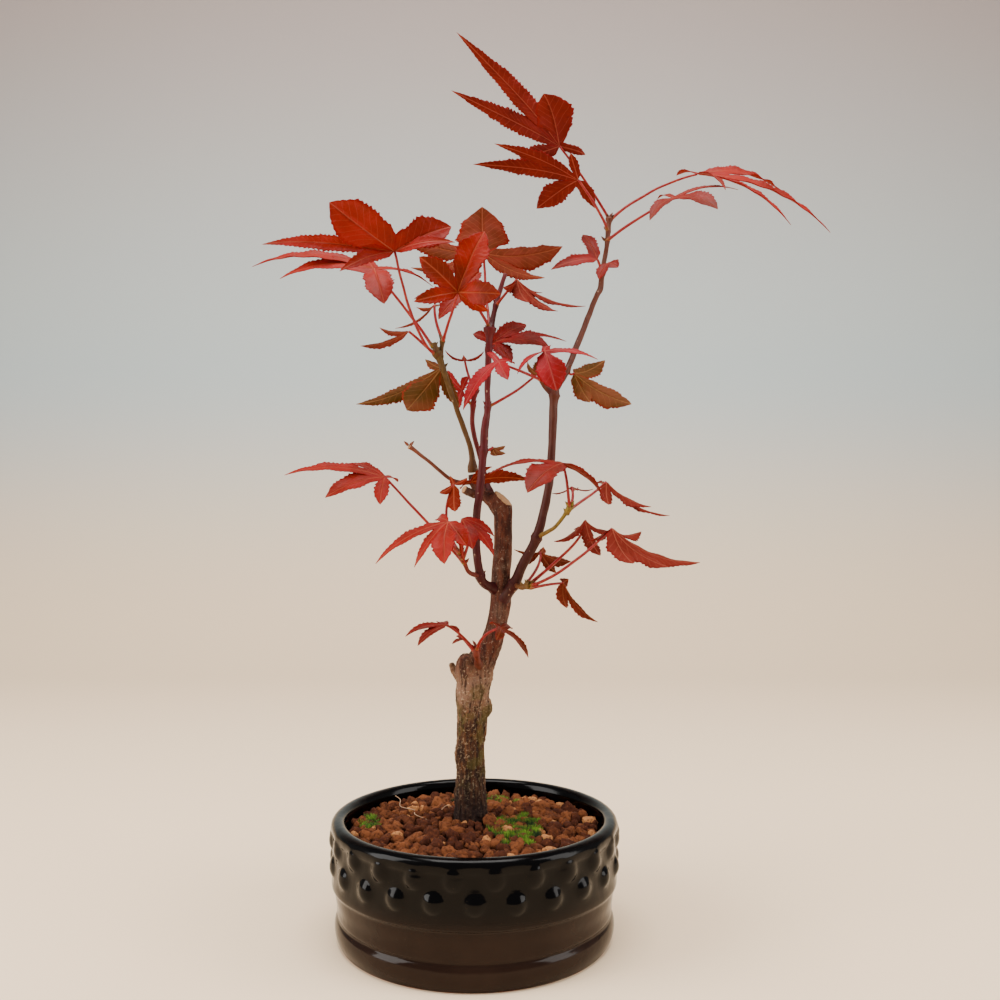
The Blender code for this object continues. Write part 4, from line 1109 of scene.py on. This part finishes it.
def lobe_shell(lobe, side, notch, middle_start, notch_rows):
    """Half a lobe, from its midrib to one margin."""
    start = notch.dot(lobe.along) / lobe.length
    free_rows = max(4, int((1 - start) * lobe.length / ROW_SPACING))
    verts, blade, edge = [], [], []
    for row in range(notch_rows + free_rows + 1):
        if row <= notch_rows:
            share = row / notch_rows
            t = middle_start * share
            margin = notch * share
        else:
            share = (row - notch_rows) / free_rows
            t = middle_start + (1 - middle_start) * share
            margin = lobe.margin(start + (1 - start) * share, side, notch)
        middle = lobe.midrib(t)
        width = (margin - middle).length
        for column in range(COLUMNS + 1):
            out = column / COLUMNS
            sag = lobe.normal * (0.09 * width * math.sin(math.pi * out))
            verts.append((middle.lerp(margin, out) - sag)[:])
            blade.append((t * lobe.length, side * width * out))
            edge.append((t, out))
    rows = notch_rows + free_rows + 1
    faces = grid_faces(rows, COLUMNS + 1)
    if side == 1:
        faces = [face[::-1] for face in faces]
    return shell_mesh(verts, faces, 0, blade, edge)


def blade_mesh(lobes):
    """The whole blade as a thin closed shell, its under face in the second slot."""
    notches = [outer_notch(lobes[0], -1)]
    notches += [notch_between(a, b) for a, b in zip(lobes, lobes[1:])]
    notches += [outer_notch(lobes[-1], 1)]
    notch_rows = max(3, int(max(notch.length for notch in notches) / ROW_SPACING))
    shape = bmesh.new()
    for i, lobe in enumerate(lobes):
        middle_start = sum(notch.dot(lobe.along) for notch in notches[i:i + 2]) / 2 / lobe.length
        for side, notch in ((-1, notches[i]), (1, notches[i + 1])):
            shell = lobe_shell(lobe, side, notch, middle_start, notch_rows)
            shape.from_mesh(shell)
            bpy.data.meshes.remove(shell)
    bmesh.ops.remove_doubles(shape, verts=shape.verts, dist=0.01 * MM)
    bmesh.ops.dissolve_degenerate(shape, edges=shape.edges, dist=0.005 * MM)
    holder = joined("blade", [mesh_of(shape, "blade")], [None, None])
    thick = holder.modifiers.new("Thickness", "SOLIDIFY")
    thick.thickness = BLADE_THICKNESS * MM
    thick.offset = 0.0
    thick.material_offset = 1
    thick.material_offset_rim = 0
    return evaluated_mesh(holder)


def ribs(lobes):
    """Raised midribs, thickest at the hub."""
    out = []
    for lobe in lobes:
        size = MIDRIB_RADIUS * min(1.2, 0.6 + lobe.half_width / 12)
        line = []
        for k in range(13):
            t = 0.02 + 0.92 * k / 12
            point = lobe.midrib(t) - lobe.normal * 0.1
            line.append((*point, size * (1.0 - 0.85 * t)))
        verts, faces, _ = tube_shell(np.array(line), 6)
        middle = np.tile((2.0, 0.0), (len(verts), 1))
        out.append(shell_mesh(verts, faces, 1, middle, np.tile((0.5, 0.0), (len(verts), 1))))
    return out


def petiole_shell(attach, middle, hub):
    """Petiole on a quadratic curve through its middle point, swollen at its foot."""
    control = middle * 2 - (attach + hub) / 2
    line = []
    for k in range(25):
        t = k / 24
        point = attach * (1 - t) ** 2 + control * 2 * t * (1 - t) + hub * t ** 2
        radius = PETIOLE_RADIUS * (1.0 - 0.25 * t) * (1.0 + 0.4 * math.exp(-(t / 0.07) ** 2))
        line.append((*point, radius))
    line = np.array(line)
    verts, faces, along = tube_shell(line, 10)
    verts = wobble(verts, 9.0, 0.25, 2)
    return shell_mesh(verts, faces, 2, np.column_stack([along, along]), None)


def build_leaves():
    stalk = petiole_material()
    faces = {look: (leaf_material(look, False), leaf_material(look, True)) for look in LEAF_LOOKS}
    for leaf, (_, attach, middle, hub, rows) in LEAVES.items():
        name = "leaf_" + leaf
        rng = random.Random(name)
        lobes = make_lobes(rows, rng)
        blade = [blade_mesh(lobes)] + ribs(lobes)
        for mesh in blade:
            mesh.transform(Matrix.Translation(Vector(hub) * MM))
        shells = blade + [petiole_shell(Vector(attach), Vector(middle), Vector(hub))]
        upper, under = faces[LEAF_LOOK_OF.get(leaf, "dusky")]
        declare(joined(name + "_fine", shells, [upper, under, stalk]), slot_of(name), name)


# Studio

CAMERA_PLACE = (11.6, -490.0, 198.0)
CAMERA_LENS = 38.5
SENSOR_WIDTH = 36.0
FLOOR_FRONT = -1500.0
SWEEP_START = 700.0         # the floor starts to rise here
SWEEP_RADIUS = 500.0
BACKDROP_REACH = 2600.0     # half width, and height
LIT_POINT = (0.0, 0.0, 0.2)
SOFTBOXES = {               # place, size, power, colour
    "left_softbox": ((-0.95, -0.35, 0.5), (0.5, 0.9), 12.5, (1.0, 0.97, 0.93)),
    "right_softbox": ((0.95, -0.3, 0.5), (0.5, 0.9), 9.0, (1.0, 0.97, 0.93)),
    "top_softbox": ((0.0, -0.1, 1.25), (0.9, 0.7), 23.0, (1.0, 0.97, 0.93)),
}


def build_backdrop():
    """A pale floor that sweeps up into a backdrop."""
    rows = [(FLOOR_FRONT, 0.0), (SWEEP_START, 0.0)]
    rows += [(SWEEP_START + SWEEP_RADIUS * math.sin(a), SWEEP_RADIUS - SWEEP_RADIUS * math.cos(a))
             for a in np.linspace(0.05, math.pi / 2, 24)]
    rows += [(SWEEP_START + SWEEP_RADIUS, BACKDROP_REACH)]
    verts = [(x, y, z) for y, z in rows for x in (-BACKDROP_REACH, BACKDROP_REACH)]
    sweep = joined("backdrop", [shell_mesh(verts, grid_faces(len(rows), 2))], [])
    shader = Shader("backdrop", 0.9, Specular_IOR_Level=0.1)
    height = shader.split(shader.place())[2]
    # Cream floor rising to blue-grey, then darker mauve-grey towards the top: the darker top is painted
    # shade, the light falling off up the backdrop.
    lower = shader.mix(shader.band(height, 0.0, 0.42), (255, 226, 190), (192, 206, 210))
    shader.colour(shader.mix(shader.band(height, 0.4, 1.1), lower, (190, 178, 176)))
    sweep.data.materials.append(shader.material)


def add_light(name, place, size, power, colour):
    data = bpy.data.lights.new(name, "AREA")
    data.shape = "RECTANGLE"
    data.size, data.size_y = size
    data.energy = power
    data.color = colour
    lamp = bpy.data.objects.new(name, data)
    lamp.location = place
    lamp.rotation_euler = (Vector(LIT_POINT) - Vector(place)).to_track_quat("-Z", "Y").to_euler()
    bpy.context.scene.collection.objects.link(lamp)


def build_studio():
    build_backdrop()
    for name, softbox in SOFTBOXES.items():
        add_light(name, *softbox)
    world = bpy.data.worlds.new("room")
    world.use_nodes = True
    world.node_tree.nodes["Background"].inputs["Color"].default_value = (0.84, 0.82, 0.8, 1.0)
    world.node_tree.nodes["Background"].inputs["Strength"].default_value = 0.45
    bpy.context.scene.world = world
    camera = bpy.data.cameras.new("camera")
    camera.lens = CAMERA_LENS
    camera.sensor_width = SENSOR_WIDTH
    holder = bpy.data.objects.new("camera", camera)
    holder.location = [value * MM for value in CAMERA_PLACE]
    holder.rotation_euler = (math.pi / 2, 0.0, 0.0)
    bpy.context.scene.collection.objects.link(holder)
    bpy.context.scene.camera = holder


build_pot()
build_drainage_mesh()
build_soil()
build_moss()
build_trunk()
build_shoots()
build_leaves()
build_studio()
